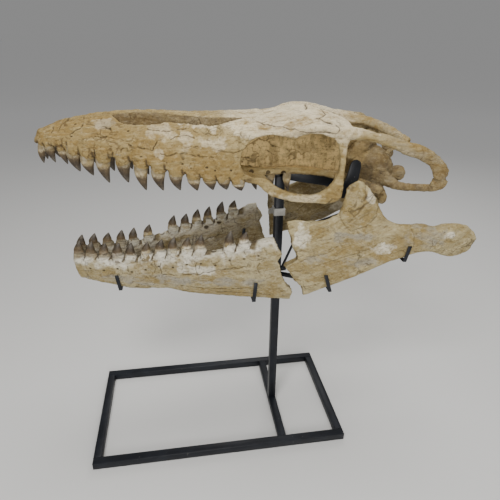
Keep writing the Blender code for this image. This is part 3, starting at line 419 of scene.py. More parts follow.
def braincase():
    """The box of the brain: side walls up to the parietal, the condyle, and processes either side."""
    pieces = [
        smooth_rod(mm((150, 0, 706, 16, 36), (178, 0, 706, 28, 44), (215, 0, 698, 36, 44),
                      (246, 0, 688, 28, 29), (262, 0, 682, 18, 19)), 40, sides=40, squareness=2.6),
        smooth_rod(mm((196, 0, 720, 26, 20), (204, 0, 760, 17, 14),
                      (196, 0, 796, 12, 12)), 20, up=(0, 1, 0)),
        smooth_rod(mm((245, 0, 674, 16, 15), (272, 0, 674, 15, 14), (288, 0, 674, 19, 17),
                      (299, 0, 673, 14, 12), (303, 0, 673, 5, 4)), 30),
        smooth_rod(mm((85, 0, 686, 12, 10), (160, 0, 679, 16, 13), (220, 0, 666, 24, 18),
                      (250, 0, 664, 22, 16)), 24)]
    for _, side in SIDES:
        pieces += [
            smooth_rod(mirrored(side, (222, 18, 664, 12, 12), (236, 26, 636, 12, 12),
                                      (242, 30, 617, 10, 10), (243, 31, 608, 4, 4)), 24, up=(0, 1, 0)),
            smooth_rod(mirrored(side, (222, 22, 682, 16, 24), (262, 52, 661, 10, 10), (290, 92, 667, 8, 8),
                                      (307, 124, 675, 7, 9)), 40),
            smooth_rod(mirrored(side, (150, 14, 720, 12, 8), (182, 26, 752, 16, 9),
                                      (204, 30, 786, 12, 8)), 20, up=(0, 1, 0))]
    return pieces


def parietal(side):
    return smooth_rod(mirrored(side, (95, 12, 812, 24, 12), (132, 9, 806, 15, 13), (168, 18, 803, 12, 11),
                                     (194, 42, 798, 10, 10), (214, 78, 788, 9, 9),
                                     (236, 120, 773, 9, 9)), 50)


def temporal_arcade(side):
    return [
        smooth_rod(mirrored(side, (70, 122, 800, 10, 12), (110, 127, 796, 9, 13), (150, 128, 789, 8, 11),
                                  (200, 129, 775, 8, 11), (240, 130, 761, 9, 13), (275, 131, 748, 9, 14),
                                  (303, 130, 728, 9, 15), (318, 129, 704, 9, 18), (316, 128, 685, 8, 16),
                                  (305, 124, 676, 7, 10)),
                   90),
        smooth_rod(mirrored(side, (98, 124, 745, 5, 6), (100, 125, 772, 7, 8),
                                  (104, 124, 795, 12, 9)), 20, up=(0, 1, 0)),
        smooth_rod(mirrored(side, (104, 20, 810, 14, 10), (108, 70, 808, 12, 9),
                                  (106, 124, 798, 14, 10)), 24)]


def naris(side):
    """The hollow of one nostril, a long slot beside the bar between the two."""
    stations = [(x, side * (inner + outer) / 2, roof_line(x), (outer - inner) / 2, depth)
                for x, inner, outer, depth in NARIS]
    return smooth_rod(stations, 80, sides=40, squareness=3.0)


def upper_roots(side):
    """Each upper tooth of one side as (root, tip, radius)."""
    foremost = GUM_LINE[0][0] + 2 * FRONT_ROOT
    rows = []
    for i, (x, z) in enumerate(UPPER_TIPS):
        root_x = max(x - UPPER_LEAN, foremost)
        y = side * (cranium_width(root_x) - UPPER_ROW_INSET)
        rows.append(((root_x, y, gum_line(root_x)), (x, y, z),
                     FRONT_ROOT if i < SMALL_FRONT_TEETH else UPPER_ROOT))
    return rows


def lower_roots(name, side):
    """Each lower tooth that is left on one side as (root, tip, radius)."""
    rows = []
    for i, (x, z) in enumerate(LOWER_TIPS):
        if i not in LOST_TEETH[name]:
            root_x = x - LOWER_LEAN
            y = side * jaw_width(root_x)
            rows.append(((root_x, y, dentary_high(root_x)), (x, y, z), LOWER_ROOT))
    return rows


def pedestal(root, tip, radius, reach=0.24):
    """The collar of bone that holds a tooth, from inside the jaw to a little way up the tooth."""
    root, tip = np.array(root), np.array(tip)
    stations = []
    for share, size in ((-0.30, 1.06), (-0.10, 1.10), (0.0, 1.07), (reach * 0.5, 0.98), (reach * 0.85, 0.92),
                        (reach, 0.80)):
        x, y, z = root + (tip - root) * share
        stations.append((x, y, z, radius * size * 0.82, radius * size))
    return smooth_rod(stations, 12, sides=24, up=(1, 0, 0))


def whole_cranium():
    """The cranium as one closed skin, with its orbits, nostrils and the hole of the spinal cord open."""
    solid = [rostrum(), skull_roof(), septum()] + [orbit_frame(side) for _, side in SIDES]
    hollowed = fused(joined(solid), COARSE)
    outline = smooth_loop(ORBIT, 120)
    for _, side in SIDES:
        hollowed = cut_away(hollowed, prism(outline, side * SEPTUM_THICKNESS / 2, side * 0.300))
        hollowed = cut_away(hollowed, naris(side))
    pieces = [hollowed] + braincase()
    for _, side in SIDES:
        pieces += [pterygoid(side), parietal(side)] + temporal_arcade(side)
        pieces += [pedestal(*row) for row in upper_roots(side)]
    whole = fused(joined(pieces), COARSE * 0.8)
    whole = cut_away(whole, smooth_rod(mm((235, 0, 704, 6, 6), (250, 0, 704, 10, 9),
                                          (290, 0, 706, 12, 11)), 12))
    return fused(whole, FINE, SOFTENING)


# ---- Numbers spread over a surface --------------------------------------------------------------------

def hashed(cell, seed):
    """A random number from 0 to 1 for each whole-number cell."""
    x, y, z = cell.astype(np.int64).T
    mixed = (x * 73856093) ^ (y * 19349663) ^ (z * 83492791) ^ (seed * 40503 + 977)
    mixed = (mixed ^ (mixed >> 13)) * 1274126177
    mixed = (mixed ^ (mixed >> 17)) * 668265263
    return ((mixed >> 9) & 0xFFFFF) / 0xFFFFF


def lumps(points, size, seed=0):
    """Smooth noise from -1 to 1 whose lumps are about size across. size may differ along X, Y and Z."""
    at = points / size
    cell = np.floor(at)
    t = at - cell
    t = t * t * (3 - 2 * t)
    total = np.zeros(len(points))
    for corner in np.ndindex(2, 2, 2):
        weight = np.prod(np.where(np.array(corner) == 1, t, 1 - t), axis=1)
        total += weight * hashed(cell + corner, seed)
    return total * 2 - 1


def rough(points, size, octaves=4, seed=0):
    """Noise of several sizes, each half the one before."""
    total, share, whole = 0, 1.0, 0.0
    for k in range(octaves):
        total = total + share * lumps(points, np.array(size) / 2 ** k, seed + 31 * k)
        whole += share
        share *= 0.55
    return total / whole * 1.6


def scattered(points, size, seed=0):
    """How far the nearest and the next nearest of scattered points lie, and a number for the nearest."""
    at = points / size
    cell = np.floor(at)
    first = np.full(len(points), FAR)
    second = np.full(len(points), FAR)
    mark = np.zeros(len(points))
    for step in np.ndindex(3, 3, 3):
        there = cell + np.array(step) - 1
        spot = there + np.column_stack([hashed(there, seed + k) for k in range(3)])
        far = np.linalg.norm(at - spot, axis=1)
        nearer = far < first
        second = np.where(nearer, first, np.minimum(second, far))
        mark = np.where(nearer, hashed(there, seed + 7), mark)
        first = np.where(nearer, far, first)
    return first, second, mark


def ramp(low, high, value):
    """0 below low, 1 above high, smooth between; the other way round where low is over high."""
    t = np.clip((value - low) / (high - low), 0, 1)
    return t * t * (3 - 2 * t)


def patch(points, x, z, wide, high, ragged=0.35, seed=0):
    """1 inside a ragged oval about (x, z) seen from the side, 0 outside."""
    far = np.hypot((points[:, 0] - x) / wide, (points[:, 2] - z) / high)
    return ramp(1.15, 0.85, far + ragged * rough(points, 0.014, 4, seed))


# ---- Bone's surface -----------------------------------------------------------------------------------

def layered(points, size, seed, layers=6):
    """Thin layers split off one over another: each point's height from 0 to 1, its layer and nearby edges."""
    value = (rough(points, size, 4, seed) * 0.5 + 0.5) * layers
    layer = np.floor(value)
    part = value - layer
    return (layer + ramp(0.0, 0.18, part)) / layers, layer, np.exp(-(part / 0.09) ** 2)


def away(points, line):
    """Distance in (x, z) from each point to a line through (x, z) points."""
    flat = points[:, (0, 2)]
    nearest = np.full(len(flat), FAR)
    for a, b in zip(np.array(line[:-1]), np.array(line[1:])):
        along = np.clip((flat - a) @ (b - a) / ((b - a) @ (b - a)), 0, 1)
        nearest = np.minimum(nearest, np.linalg.norm(flat - a - along[:, None] * (b - a), axis=1))
    return nearest


def within(points, outline):
    """Whether each point lies inside an (x, z) outline."""
    x, z = points[:, 0], points[:, 2]
    inside = np.zeros(len(points), bool)
    for (ax, az), (bx, bz) in zip(outline, outline[1:] + outline[:1]):
        inside ^= ((az > z) != (bz > z)) & (x < (bx - ax) * (z - az) / (bz - az + 1e-9) + ax)
    return inside


# Of these, dirt and worn hold painted shade with grime in low places and a painted highlight with wear on
# raised ones, gold a golden stain painted lighter as painted light, and hollow dark cracks and painted shade
# in holes, pits, notches and corners.
MASKS = ("seam", "hollow", "tan", "pale", "lit_gold", "brown", "grey", "layer", "dirt_and_shade", "worn")


class Skin:
    """A closed skin as arrays, to which forms and masks are added before it is parted into pieces."""

    def __init__(self, thing):
        mesh = thing.data
        self.points = self.read(mesh.vertices, "co")
        self.normals = self.read(mesh.vertices, "normal")
        corners = np.empty(len(mesh.loops), int)
        mesh.loops.foreach_get("vertex_index", corners)
        self.faces = corners.reshape(-1, 4)
        self.rest = self.points.copy()
        self.masks = {}
        discard(thing)

    @staticmethod
    def read(rows, what):
        values = np.empty(len(rows) * 3)
        rows.foreach_get(what, values)
        return values.reshape(-1, 3)

    def spot(self, name, place, ragged, seed, share=1.0):
        """A ragged oval of a mask. place is its x, z, half width and half height in millimetres."""
        self.mask(name, patch(self.rest, *mm(*place), ragged, seed) * share)

    def push(self, height):
        self.points += self.normals * np.asarray(height)[:, None]

    def mask(self, name, value):
        """Adds to a mask, where the larger value wins."""
        self.masks[name] = np.maximum(self.masks.get(name, 0.0), np.clip(value, 0, 1))

    def weather(self, tilt=0.0, seed=0, strength=1.0):
        """Lumps, split layers, grain and cracks over all of it. tilt is the grain's rise per metre of X."""
        p = self.rest.copy()
        p[:, 2] -= tilt * p[:, 0]
        self.push(strength * (0.0010 * rough(p, 0.032, 3, seed) + 0.0009 * rough(p, 0.011, 3, seed + 5)))
        self.push(strength * 0.00045 * rough(p, (0.022, 0.0060, 0.0060), 3, seed + 9))
        height, layer, edge = layered(p, (0.090, 0.030, 0.026), seed + 50)
        self.push(strength * 0.0032 * (height - 0.5))
        self.mask("layer", (layer * 0.37 + 0.2 * hashed(np.column_stack([layer] * 3), seed)) % 1)
        self.mask("seam", edge * ramp(-0.2, 0.5, rough(p, 0.022, 3, seed + 52)) * 0.5)
        wander = 0.012 * np.column_stack([rough(p, 0.030, 3, seed + k) for k in (11, 12, 13)])
        for size, width, stretch, share, k in ((0.052, 0.040, 0.34, 0.42, 20), (0.024, 0.055, 0.7, 0.66, 30)):
            first, second, _ = scattered((p + wander) * (stretch, 1, 1), size, seed + k)
            line = ramp(width, width * 0.3, second - first) * ramp(share, share + 0.25,
                                                                  rough(p, 0.040, 2, seed + k + 4))
            self.push(-0.0006 * line)
            self.mask("hollow", line * 0.62)

    def pit(self, size, radius, depth, share, where, seed):
        """Scattered small holes darkened with painted shade. where gives the chance at each point."""
        first, _, mark = scattered(self.rest * (0.6, 1, 1), size, seed)
        hole = ramp(radius, radius * 0.35, first * size) * (mark < share * where)
        self.push(-depth * hole)
        self.mask("hollow", hole)

    def hole(self, x, y, z, radius, depth, long=1.0):
        """One dark hole, longer along X by long: a shallow dent painted dark as painted shade."""
        near = np.flatnonzero(abs(self.rest[:, 0] - x) < radius * long)
        at = self.rest[near]
        far = np.sqrt(((at[:, 0] - x) / long) ** 2 + (at[:, 1] - y) ** 2 + (at[:, 2] - z) ** 2)
        deep = np.zeros(len(self.rest))
        deep[near] = ramp(radius, radius * 0.4, far)
        self.push(-depth * deep)
        self.mask("hollow", deep)

    def line(self, points, width, side, seed=0, inner=0.0, depth=0.9, dark=0.8):
        """A crack along (x, z) points on one side, wandering a little and fading in places."""
        xs = [x for x, _ in points]
        near = np.flatnonzero((self.rest[:, 0] > min(xs) - 0.01) & (self.rest[:, 0] < max(xs) + 0.01)
                              & (self.rest[:, 1] * side > inner))
        at = self.rest[near]
        at = at + 0.0022 * np.column_stack([rough(at, 0.011, 3, seed + k) for k in range(3)])
        deep = np.zeros(len(self.rest))
        deep[near] = (np.exp(-(away(at, points) / width) ** 2)
                      * ramp(-0.9, -0.1, rough(at, 0.013, 2, seed + 7)))
        self.push(-depth * width * deep)
        self.mask("hollow", deep * dark)

    def crevice(self, points, width, seed, depth=1.6):
        """A sharp dark split along (x, y) points on the upper surface."""
        at = self.rest[:, (0, 2, 1)]
        at = at + 0.0016 * np.column_stack([rough(at, 0.009, 3, seed + k) for k in range(3)])
        upper = (self.normals[:, 2] > 0.15) * (self.rest[:, 2] > 0.79)
        deep = np.exp(-(away(at, points) / width) ** 2) * upper
        self.push(-depth * min(width, 0.002) * deep)
        self.mask("hollow", deep)

    def groove(self, distance, width, depth, dark=0.8):
        """An open seam where distance is near 0."""
        line = np.exp(-(distance / width) ** 2)
        self.push(-depth * line)
        self.mask("seam", line * dark)

    def shade_hollows_and_light_ridges(self):
        """Painted shade, with grime, in what lies lower than its surroundings, and wear with a painted
        highlight on what stands above them, near and wide.
        """
        ends = np.concatenate([self.faces[:, (k, (k + 1) % 4)] for k in range(4)])
        ends = np.concatenate([ends, ends[:, ::-1]])
        count = np.bincount(ends[:, 0], minlength=len(self.points))

        def spread(values):
            return np.bincount(ends[:, 0], values[ends[:, 1]], len(values)) / count

        around, steps = self.points.copy(), 0
        for rounds, span in ((2, 0.00030), (9, 0.00105), (30, 0.0025)):
            while steps < rounds:
                around = np.column_stack([spread(around[:, k]) for k in range(3)])
                steps += 1
            sunk = ((around - self.points) * self.normals).sum(1) / span
            self.mask("dirt_and_shade", ramp(0.15, 1.1, sunk))
            self.mask("worn", ramp(0.25, 1.3, -sunk))

    def piece(self, name, keep, nodes, slot, paint):
        """The chosen faces as one object that stands for the given nodes."""
        faces = self.faces[keep]
        used, corners = np.unique(faces, return_inverse=True)
        mesh = bpy.data.meshes.new(name)
        mesh.vertices.add(len(used))
        mesh.vertices.foreach_set("co", self.points[used].ravel())
        mesh.loops.add(faces.size)
        mesh.loops.foreach_set("vertex_index", corners.ravel())
        mesh.polygons.add(len(faces))
        mesh.polygons.foreach_set("loop_start", np.arange(0, faces.size, 4))
        mesh.update(calc_edges=True)
        for label in MASKS:
            value = np.broadcast_to(self.masks.get(label, 0.0), len(self.points))[used]
            write(mesh, label, value)
        return settle(thing_from(name, mesh), nodes, slot, paint)


def write(mesh, label, values):
    """A number at each point, for the paints to read."""
    layer = mesh.attributes.new(label, "FLOAT", "POINT")
    layer.data.foreach_set("value", np.ascontiguousarray(values, float))


def settle(thing, nodes, slot, paint):
    """Finishes a piece: its paint, the nodes that it stands for and the body that it rides on."""
    thing.data.materials.clear()
    thing.data.materials.append(paint)
    thing.data.shade_smooth()
    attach(thing, "root")
    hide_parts(*nodes)
    return thing


# ---- Paints -------------------------------------------------------------------------------------------

class Value:
    """A number that varies over a surface, for plain arithmetic."""

    def __init__(self, paint, socket):
        self.paint, self.socket = paint, socket

    def _with(self, operation, *others):
        node = self.paint.node("Math", {"operation": operation}, *others)
        return Value(self.paint, node.outputs[0])

    def __add__(self, other):
        return self._with("ADD", self, other)

    def __sub__(self, other):
        return self._with("SUBTRACT", self, other)

    def __rsub__(self, other):
        return self._with("SUBTRACT", other, self)

    def __mul__(self, other):
        return self._with("MULTIPLY", self, other)

    __radd__ = __add__
    __rmul__ = __mul__

    def ramp(self, low, high):
        """0 below low, 1 above high."""
        node = self.paint.node("MapRange", {"interpolation_type": "SMOOTHSTEP"}, self, low, high, 0.0, 1.0)
        return Value(self.paint, node.outputs[0])


class Paint:
    """A material: one Principled shader and what is wired to it."""

    def __init__(self, name, **constants):
        self.material = bpy.data.materials.new(name)
        self.material.use_nodes = True
        self.tree = self.material.node_tree
        self.shader = self.tree.nodes["Principled BSDF"]
        for socket, value in constants.items():
            self.shader.inputs[socket.replace("_", " ")].default_value = value
        self.place = self.node("TexCoord").outputs["Object"]

    def node(self, kind, settings=None, *values, **named):
        """A node of any kind: its settings first, then values or links for its sockets."""
        node = self.tree.nodes.new("ShaderNode" + kind)
        for key, value in (settings or {}).items():
            setattr(node, key, value)
        for key, value in list(enumerate(values)) + [(k.replace("_", " "), v) for k, v in named.items()]:
            self.join(value, node.inputs[key])
        return node

    def join(self, value, socket):
        if isinstance(value, Value):
            value = value.socket
        if isinstance(value, bpy.types.NodeSocket):
            self.tree.links.new(value, socket)
        else:
            socket.default_value = value

    def stretched(self, x, y, z, tilt=0.0):
        """The place on the object turned about Y, with each axis scaled."""
        place = self.place
        if tilt:
            turned = self.node("VectorRotate", {"rotation_type": "Y_AXIS"}, Vector=place, Angle=tilt)
            place = turned.outputs[0]
        return self.node("VectorMath", {"operation": "MULTIPLY"}, place, (x, y, z)).outputs[0]

    def noise(self, scale, detail=4.0, roughness=0.55, place=None, distortion=0.0):
        node = self.node("TexNoise", None, Vector=place or self.place, Scale=scale, Detail=detail,
                         Roughness=roughness, Distortion=distortion)
        return Value(self, node.outputs["Fac"])

    def cells(self, scale, place=None, feature="F1"):
        node = self.node("TexVoronoi", {"feature": feature}, Vector=place or self.place, Scale=scale)
        return Value(self, node.outputs["Distance"])

    def mask(self, name):
        node = self.node("Attribute", {"attribute_type": "GEOMETRY", "attribute_name": name})
        return Value(self, node.outputs["Fac"])

    def mix(self, first, second, share, kind="MIX"):
        """Two colours, the second showing by share."""
        node = self.node("Mix", {"data_type": "RGBA", "blend_type": kind, "clamp_factor": True})
        for value, socket in ((share, node.inputs[0]), (first, node.inputs[6]), (second, node.inputs[7])):
            if isinstance(value, tuple):
                value = (*value, 1.0)
            self.join(value, socket)
        return node.outputs[2]

    def over(self, colour, *coats):
        """A colour under coats of (colour, share), one after another."""
        for coat, share in coats:
            colour = self.mix(colour, coat, share)
        return colour

    def bump(self, height, distance, strength):
        return self.node("Bump", None, Strength=strength, Distance=distance, Height=height).outputs["Normal"]

    def wear(self, **sockets):
        for name, value in sockets.items():
            self.join(value, self.shader.inputs[name.replace("_", " ")])
        return self.material


CREAM, TAN, OCHRE = (0.43, 0.355, 0.20), (0.305, 0.232, 0.106), (0.268, 0.182, 0.060)
# LIT_GOLD is a golden stain painted far lighter than the bone: painted light for walls that lie recessed and
# in shade.
CHALK, ASH, LIT_GOLD = (0.76, 0.70, 0.58), (0.31, 0.280, 0.225), (0.80, 0.62, 0.33)
UMBER, NEAR_BLACK, RUST = (0.120, 0.080, 0.040), (0.030, 0.020, 0.012), (0.30, 0.165, 0.055)


def bone_paint(name, tilt, tint):
    """Mineralised bone: mottled cream and ochre, long grain, fine cracks, painted shade and grime in every
    hollow, wear and a painted highlight on what stands out, and a golden stain painted lighter as painted
    light.
    """
    paint = Paint(name, Roughness=0.78, Specular_IOR_Level=0.28)
    mask = {label: paint.mask(label) for label in MASKS}
    along = paint.stretched(0.22, 1, 1, tilt)
    grain = paint.noise(230, 6, 0.66, along)
    fibre = paint.noise(700, 4, 0.62, along)
    band = paint.noise(52, 5, 0.62, paint.stretched(0.22, 1, 1, tilt))
    cloud = paint.noise(15, 6, 0.62, distortion=0.6)
    blot = paint.noise(62, 5, 0.66)
    fleck = paint.noise(190, 5, 0.70, paint.stretched(0.55, 1, 1, tilt))
    speck = paint.noise(540, 4, 0.72)
    streak = paint.noise(120, 5, 0.68, paint.stretched(1.0, 1.0, 0.30))
    # The golden stain, painted lighter as painted light, mottled with cream and tan.
    lit_gold = paint.over(LIT_GOLD, (CREAM, blot.ramp(0.48, 0.66) * 0.6),
                      (TAN, (streak * 0.6 + cloud * 0.4).ramp(0.48, 0.60) * 0.62))
    brown = paint.mix(UMBER, TAN, (blot * 0.6 + band * 0.4).ramp(0.42, 0.62) * 0.8)
    calm = 1 - mask["lit_gold"] * 0.65
    swirl = paint.node("TexNoise", None, Vector=paint.place, Scale=40.0, Detail=4.0).outputs["Color"]
    wander = paint.node("VectorMath", {"operation": "SCALE"}, swirl, Scale=0.022).outputs[0]
    warped = paint.stretched(0.45, 1, 1, tilt)
    warped = paint.node("VectorMath", {"operation": "ADD"}, warped, wander).outputs[0]
    crack = paint.cells(60, warped, "DISTANCE_TO_EDGE").ramp(0.026, 0.004) * cloud.ramp(0.53, 0.63)
    hair = paint.cells(170, warped, "DISTANCE_TO_EDGE").ramp(0.045, 0.004) * blot.ramp(0.50, 0.60)
    tone = cloud * 0.42 + band * 0.30 + blot * 0.16 + mask["layer"] * 0.12
    colour = paint.over(
        TAN,
        (CREAM, tone.ramp(0.42, 0.56)),
        (OCHRE, (1 - cloud * 0.6 - band * 0.4).ramp(0.51, 0.62) * 0.60),
        (TAN, mask["tan"] * (band * 0.5 + blot * 0.5).ramp(0.62, 0.44) * 0.95),
        (OCHRE, mask["tan"] * (blot * 0.6 + mask["layer"] * 0.4).ramp(0.36, 0.60) * 0.75),
        (CHALK, mask["pale"] * (blot * 0.4 + cloud * 0.3 + band * 0.3).ramp(0.37, 0.54)),
        (ASH, mask["grey"] * (band * 0.6 + cloud * 0.4).ramp(0.40, 0.56) * 0.85),
        (lit_gold, mask["lit_gold"]),
        (brown, mask["brown"]),
        (UMBER, grain.ramp(0.52, 0.66) * 0.32 * calm),
        (CHALK, grain.ramp(0.47, 0.34) * 0.13 * calm),
        (UMBER, fleck.ramp(0.54, 0.68) * 0.36 * calm),
        (CHALK, fleck.ramp(0.46, 0.34) * 0.15 * calm),
        (RUST, (blot * speck).ramp(0.30, 0.40) * 0.25),
        (UMBER, speck.ramp(0.56, 0.70) * 0.34),
        (NEAR_BLACK, crack * 0.34),
        (UMBER, hair * 0.32),
        # Wear with a painted highlight on raised places, then painted shade with grime in low places.
        (CREAM, mask["worn"] * blot.ramp(0.38, 0.54) * 0.42),
        (UMBER, mask["dirt_and_shade"] * fleck.ramp(0.30, 0.52) * 0.56),
        (UMBER, mask["seam"] * 0.60),
        # Near black from the hollow mask: dark cracks, and painted shade in holes, pits, notches, corners and
        # nostrils.
        (NEAR_BLACK, mask["hollow"].ramp(0.12, 0.95) * 0.80))
    colour = paint.mix(colour, tint, 1.0, "MULTIPLY")
    height = (grain * 0.70 + fibre * 0.35 + speck * 0.55 + blot * 0.9 + fleck * 0.8 + band * 0.6
              - crack - hair * 0.5)
    return paint.wear(Base_Color=colour, Roughness=0.66 + speck * 0.26,
                      Normal=paint.bump(height, 0.0016, 0.95))


def tooth_paint():
    """Teeth: a root like the bone, then smooth brown enamel that greys towards the tip, with chips, and
    painted shade at the foot.
    """
    paint = Paint("tooth_enamel", Specular_IOR_Level=0.42)
    crown, root = paint.mask("crown"), paint.mask("root_tone")
    cloud = paint.noise(60, 4)
    blot = paint.noise(190, 5, 0.68)
    rib = paint.noise(480, 4, 0.62, paint.stretched(1, 1, 0.12))
    body = paint.over(
        (0.086, 0.058, 0.028),
        ((0.040, 0.029, 0.017), (crown + cloud * 0.7 - 0.35).ramp(0.42, 0.78)),
        ((0.088, 0.076, 0.060), (crown + blot * 0.5 - 0.1).ramp(0.84, 1.08) * 0.85),
        ((0.185, 0.140, 0.080), (blot * 0.6 + rib * 0.4).ramp(0.53, 0.66) * 0.60),
        (NEAR_BLACK, rib.ramp(0.52, 0.42) * cloud.ramp(0.44, 0.58) * 0.45))
    edge = (crown + (blot - 0.5) * 0.30 + (cloud - 0.5) * 0.26 + (rib - 0.5) * 0.10).ramp(0.26, 0.48)
    colour = paint.over(
        TAN,
        (CREAM, cloud.ramp(0.40, 0.60)),
        (CHALK, root * cloud.ramp(0.30, 0.60) * 0.80),
        (OCHRE, (1 - root) * blot.ramp(0.46, 0.60) * 0.6),
        (UMBER, paint.mask("stain")),
        (body, edge),
        (UMBER, rib.ramp(0.55, 0.70) * 0.45),
        # Painted shade at each tooth's foot, where it comes out of its collar of bone.
        (NEAR_BLACK, paint.mask("socket") * 0.75))
    height = rib * 0.9 + blot * 0.7 + edge * 0.4
    return paint.wear(Base_Color=colour, Roughness=0.76 - edge * 0.30 + blot * 0.12,
                      Normal=paint.bump(height, 0.0008, 0.75))


def steel_paint():
    """Blue-black paint over steel, a little uneven, with dust and small chips."""
    paint = Paint("black_steel_paint", Specular_IOR_Level=0.34)
    peel = paint.noise(900, 2)
    cloud = paint.noise(24, 4)
    chip = paint.cells(130).ramp(0.16, 0.08) * paint.noise(34, 3).ramp(0.60, 0.68)
    colour = paint.over(
        (0.0060, 0.0072, 0.0105),
        ((0.0105, 0.0125, 0.0175), cloud.ramp(0.40, 0.62)),
        ((0.085, 0.082, 0.078), paint.noise(300, 4).ramp(0.58, 0.80) * 0.14),
        ((0.22, 0.20, 0.18), chip * 0.8))
    return paint.wear(Base_Color=colour, Roughness=0.36 + cloud * 0.22 + chip * 0.2,
                      Normal=paint.bump(peel * 0.5 + cloud * 0.4 - chip * 0.8, 0.0004, 0.5))


def strap_paint():
    """Pale woven webbing with grey stains."""
    paint = Paint("woven_strap", Roughness=0.6)
    weave = paint.node("TexWave", {"wave_type": "BANDS", "bands_direction": "DIAGONAL"}, Vector=paint.place,
                       Scale=420.0, Distortion=1.5, Detail=1.0)
    thread = Value(paint, weave.outputs["Fac"])
    colour = paint.over((0.36, 0.355, 0.33), ((0.52, 0.51, 0.48), thread),
                        ((0.22, 0.20, 0.17), paint.noise(80, 4).ramp(0.50, 0.72) * 0.5))
    return paint.wear(Base_Color=colour, Normal=paint.bump(thread, 0.0004, 0.6))


bone = bone_paint("fossil_bone", -0.05, (0.90, 0.85, 0.71))
jaw_bone = bone_paint("fossil_bone_of_the_front_jaw", -0.05, (0.91, 0.94, 0.95))
ramus_bone = bone_paint("fossil_bone_of_the_rear_jaw", -0.36, (0.93, 0.94, 0.90))
enamel = tooth_paint()
painted_steel = steel_paint()
strap_weave = strap_paint()


# ---- Cranium ------------------------------------------------------------------------------------------

MIDDLE_BONES = ("premaxilla", "internarial_bar", "frontal", "palate", "parietal", "braincase")
CRANIUM_BONES = [bone_name + end for bone_name in (
    "premaxilla", "internarial_bar", "maxilla", "prefrontal", "frontal", "postorbitofrontal",
    "postorbital_bar", "jugal", "palate", "parietal", "parietal_ramus", "squamosal", "suspensorium",
    "braincase") for end in (("",) if bone_name in MIDDLE_BONES else ("_left", "_right"))]
PALE_BONES = ("prefrontal", "frontal", "jugal")


def bone_map(p):
    """Which bone each point of the cranium belongs to, and how far away the nearest open suture lies."""
    wiggle = np.column_stack([0.0035 * rough(p, 0.016, 4, 60 + k) for k in range(3)])
    x, y, z = (p + wiggle).T
    wide = abs(y)
    names = np.full(len(p), -1)
    near = np.full(len(p), 1.0)
    side = np.where(y < 0, 0, 1)

    def parting(where, distance, healed=0.0):
        """Splits some of the points in two. A healed suture shows less."""
        near[where] = np.minimum(near[where], abs(distance[where]) + healed)
        return where & (distance > 0), where & (distance <= 0)

    def give(where, name):
        if name in MIDDLE_BONES:
            names[where] = CRANIUM_BONES.index(name)
        else:
            names[where] = CRANIUM_BONES.index(name + "_left") + side[where]

    everything = np.ones(len(p), bool)
    tip, rest = parting(everything, (-(x + 0.4505) + 0.86 * (z - 0.790)) / 1.32, 1)
    give(tip, "premaxilla")
    snout, rear = parting(rest, -(x + 0.087), 1)
    flank, bar = parting(snout, wide - 0.0135, 0.001)
    give(bar, "internarial_bar")
    upper, lower = parting(flank, (0.36 * (x + 0.160) + z - 0.783) / 1.06, 0.001)
    give(upper, "prefrontal")
    give(lower, "maxilla")
    back, front = parting(rear, x - 0.1195, 0.001)
    top, under = parting(front, z - 0.7765, 1)
    rim, middle = parting(top, wide - 0.10 * x - 0.078, 0.0004)
    give(rim, "postorbitofrontal")
    give(middle, "frontal")
    cheek, inner = parting(under, wide - 0.062, 1)
    give(inner, "palate")
    post, jugal = parting(cheek, (0.45 * (x - 0.084) + z - 0.684) / 1.10, 0.0008)
    give(post, "postorbital_bar")
    give(jugal, "jugal")
    arcade, core = parting(back, wide - 0.1125, 1)
    hook, bar = parting(arcade, x - 0.262, 0.0004)
    give(hook, "suspensorium")
    give(bar, "squamosal")
    roof, case = parting(core, z - 0.7655, 1)
    give(case, "braincase")
    ramus, table = parting(roof, wide - 0.0225, 0.0008)
    give(ramus, "parietal_ramus")
    give(table, "parietal")
    return names, near


def socket_rims(skin, roots):
    """Painted shade in the corner where each tooth's collar meets the jaw and round the tooth, and a brown
    stain, darkened, between the teeth.
    """
    closest, along = np.full(len(skin.rest), FAR), np.full(len(skin.rest), -FAR)
    for root, tip, radius in roots:
        near = np.flatnonzero(abs(skin.rest[:, 0] - root[0]) < 3.2 * radius)
        at = skin.rest[near] - root
        up = np.subtract(tip, root)
        share = at @ up / (up @ up)
        off = np.linalg.norm(at - share[:, None] * up, axis=1) / radius
        dark = np.zeros(len(skin.rest))
        dark[near] = np.maximum(ramp(0.75, 1.0, off) * np.exp(-((off - 1.16) / 0.14) ** 2)
                                * ramp(-0.30, -0.05, share),
                                ramp(0.19, 0.25, share) * ramp(1.3, 1.1, off) * 0.8)
        skin.push(-0.0009 * dark)
        skin.mask("hollow", dark * 0.8)
        along[near] = np.where(off < closest[near], share, along[near])
        closest[near] = np.minimum(off, closest[near])
    along += 0.06 * rough(skin.rest, 0.006, 3, 7)
    dip = ramp(1.04, 1.24, closest) * ramp(2.5, 1.7, closest) * ramp(-0.20, -0.04, along)
    skin.mask("brown", dip)
    skin.mask("hollow", dip * 0.55)


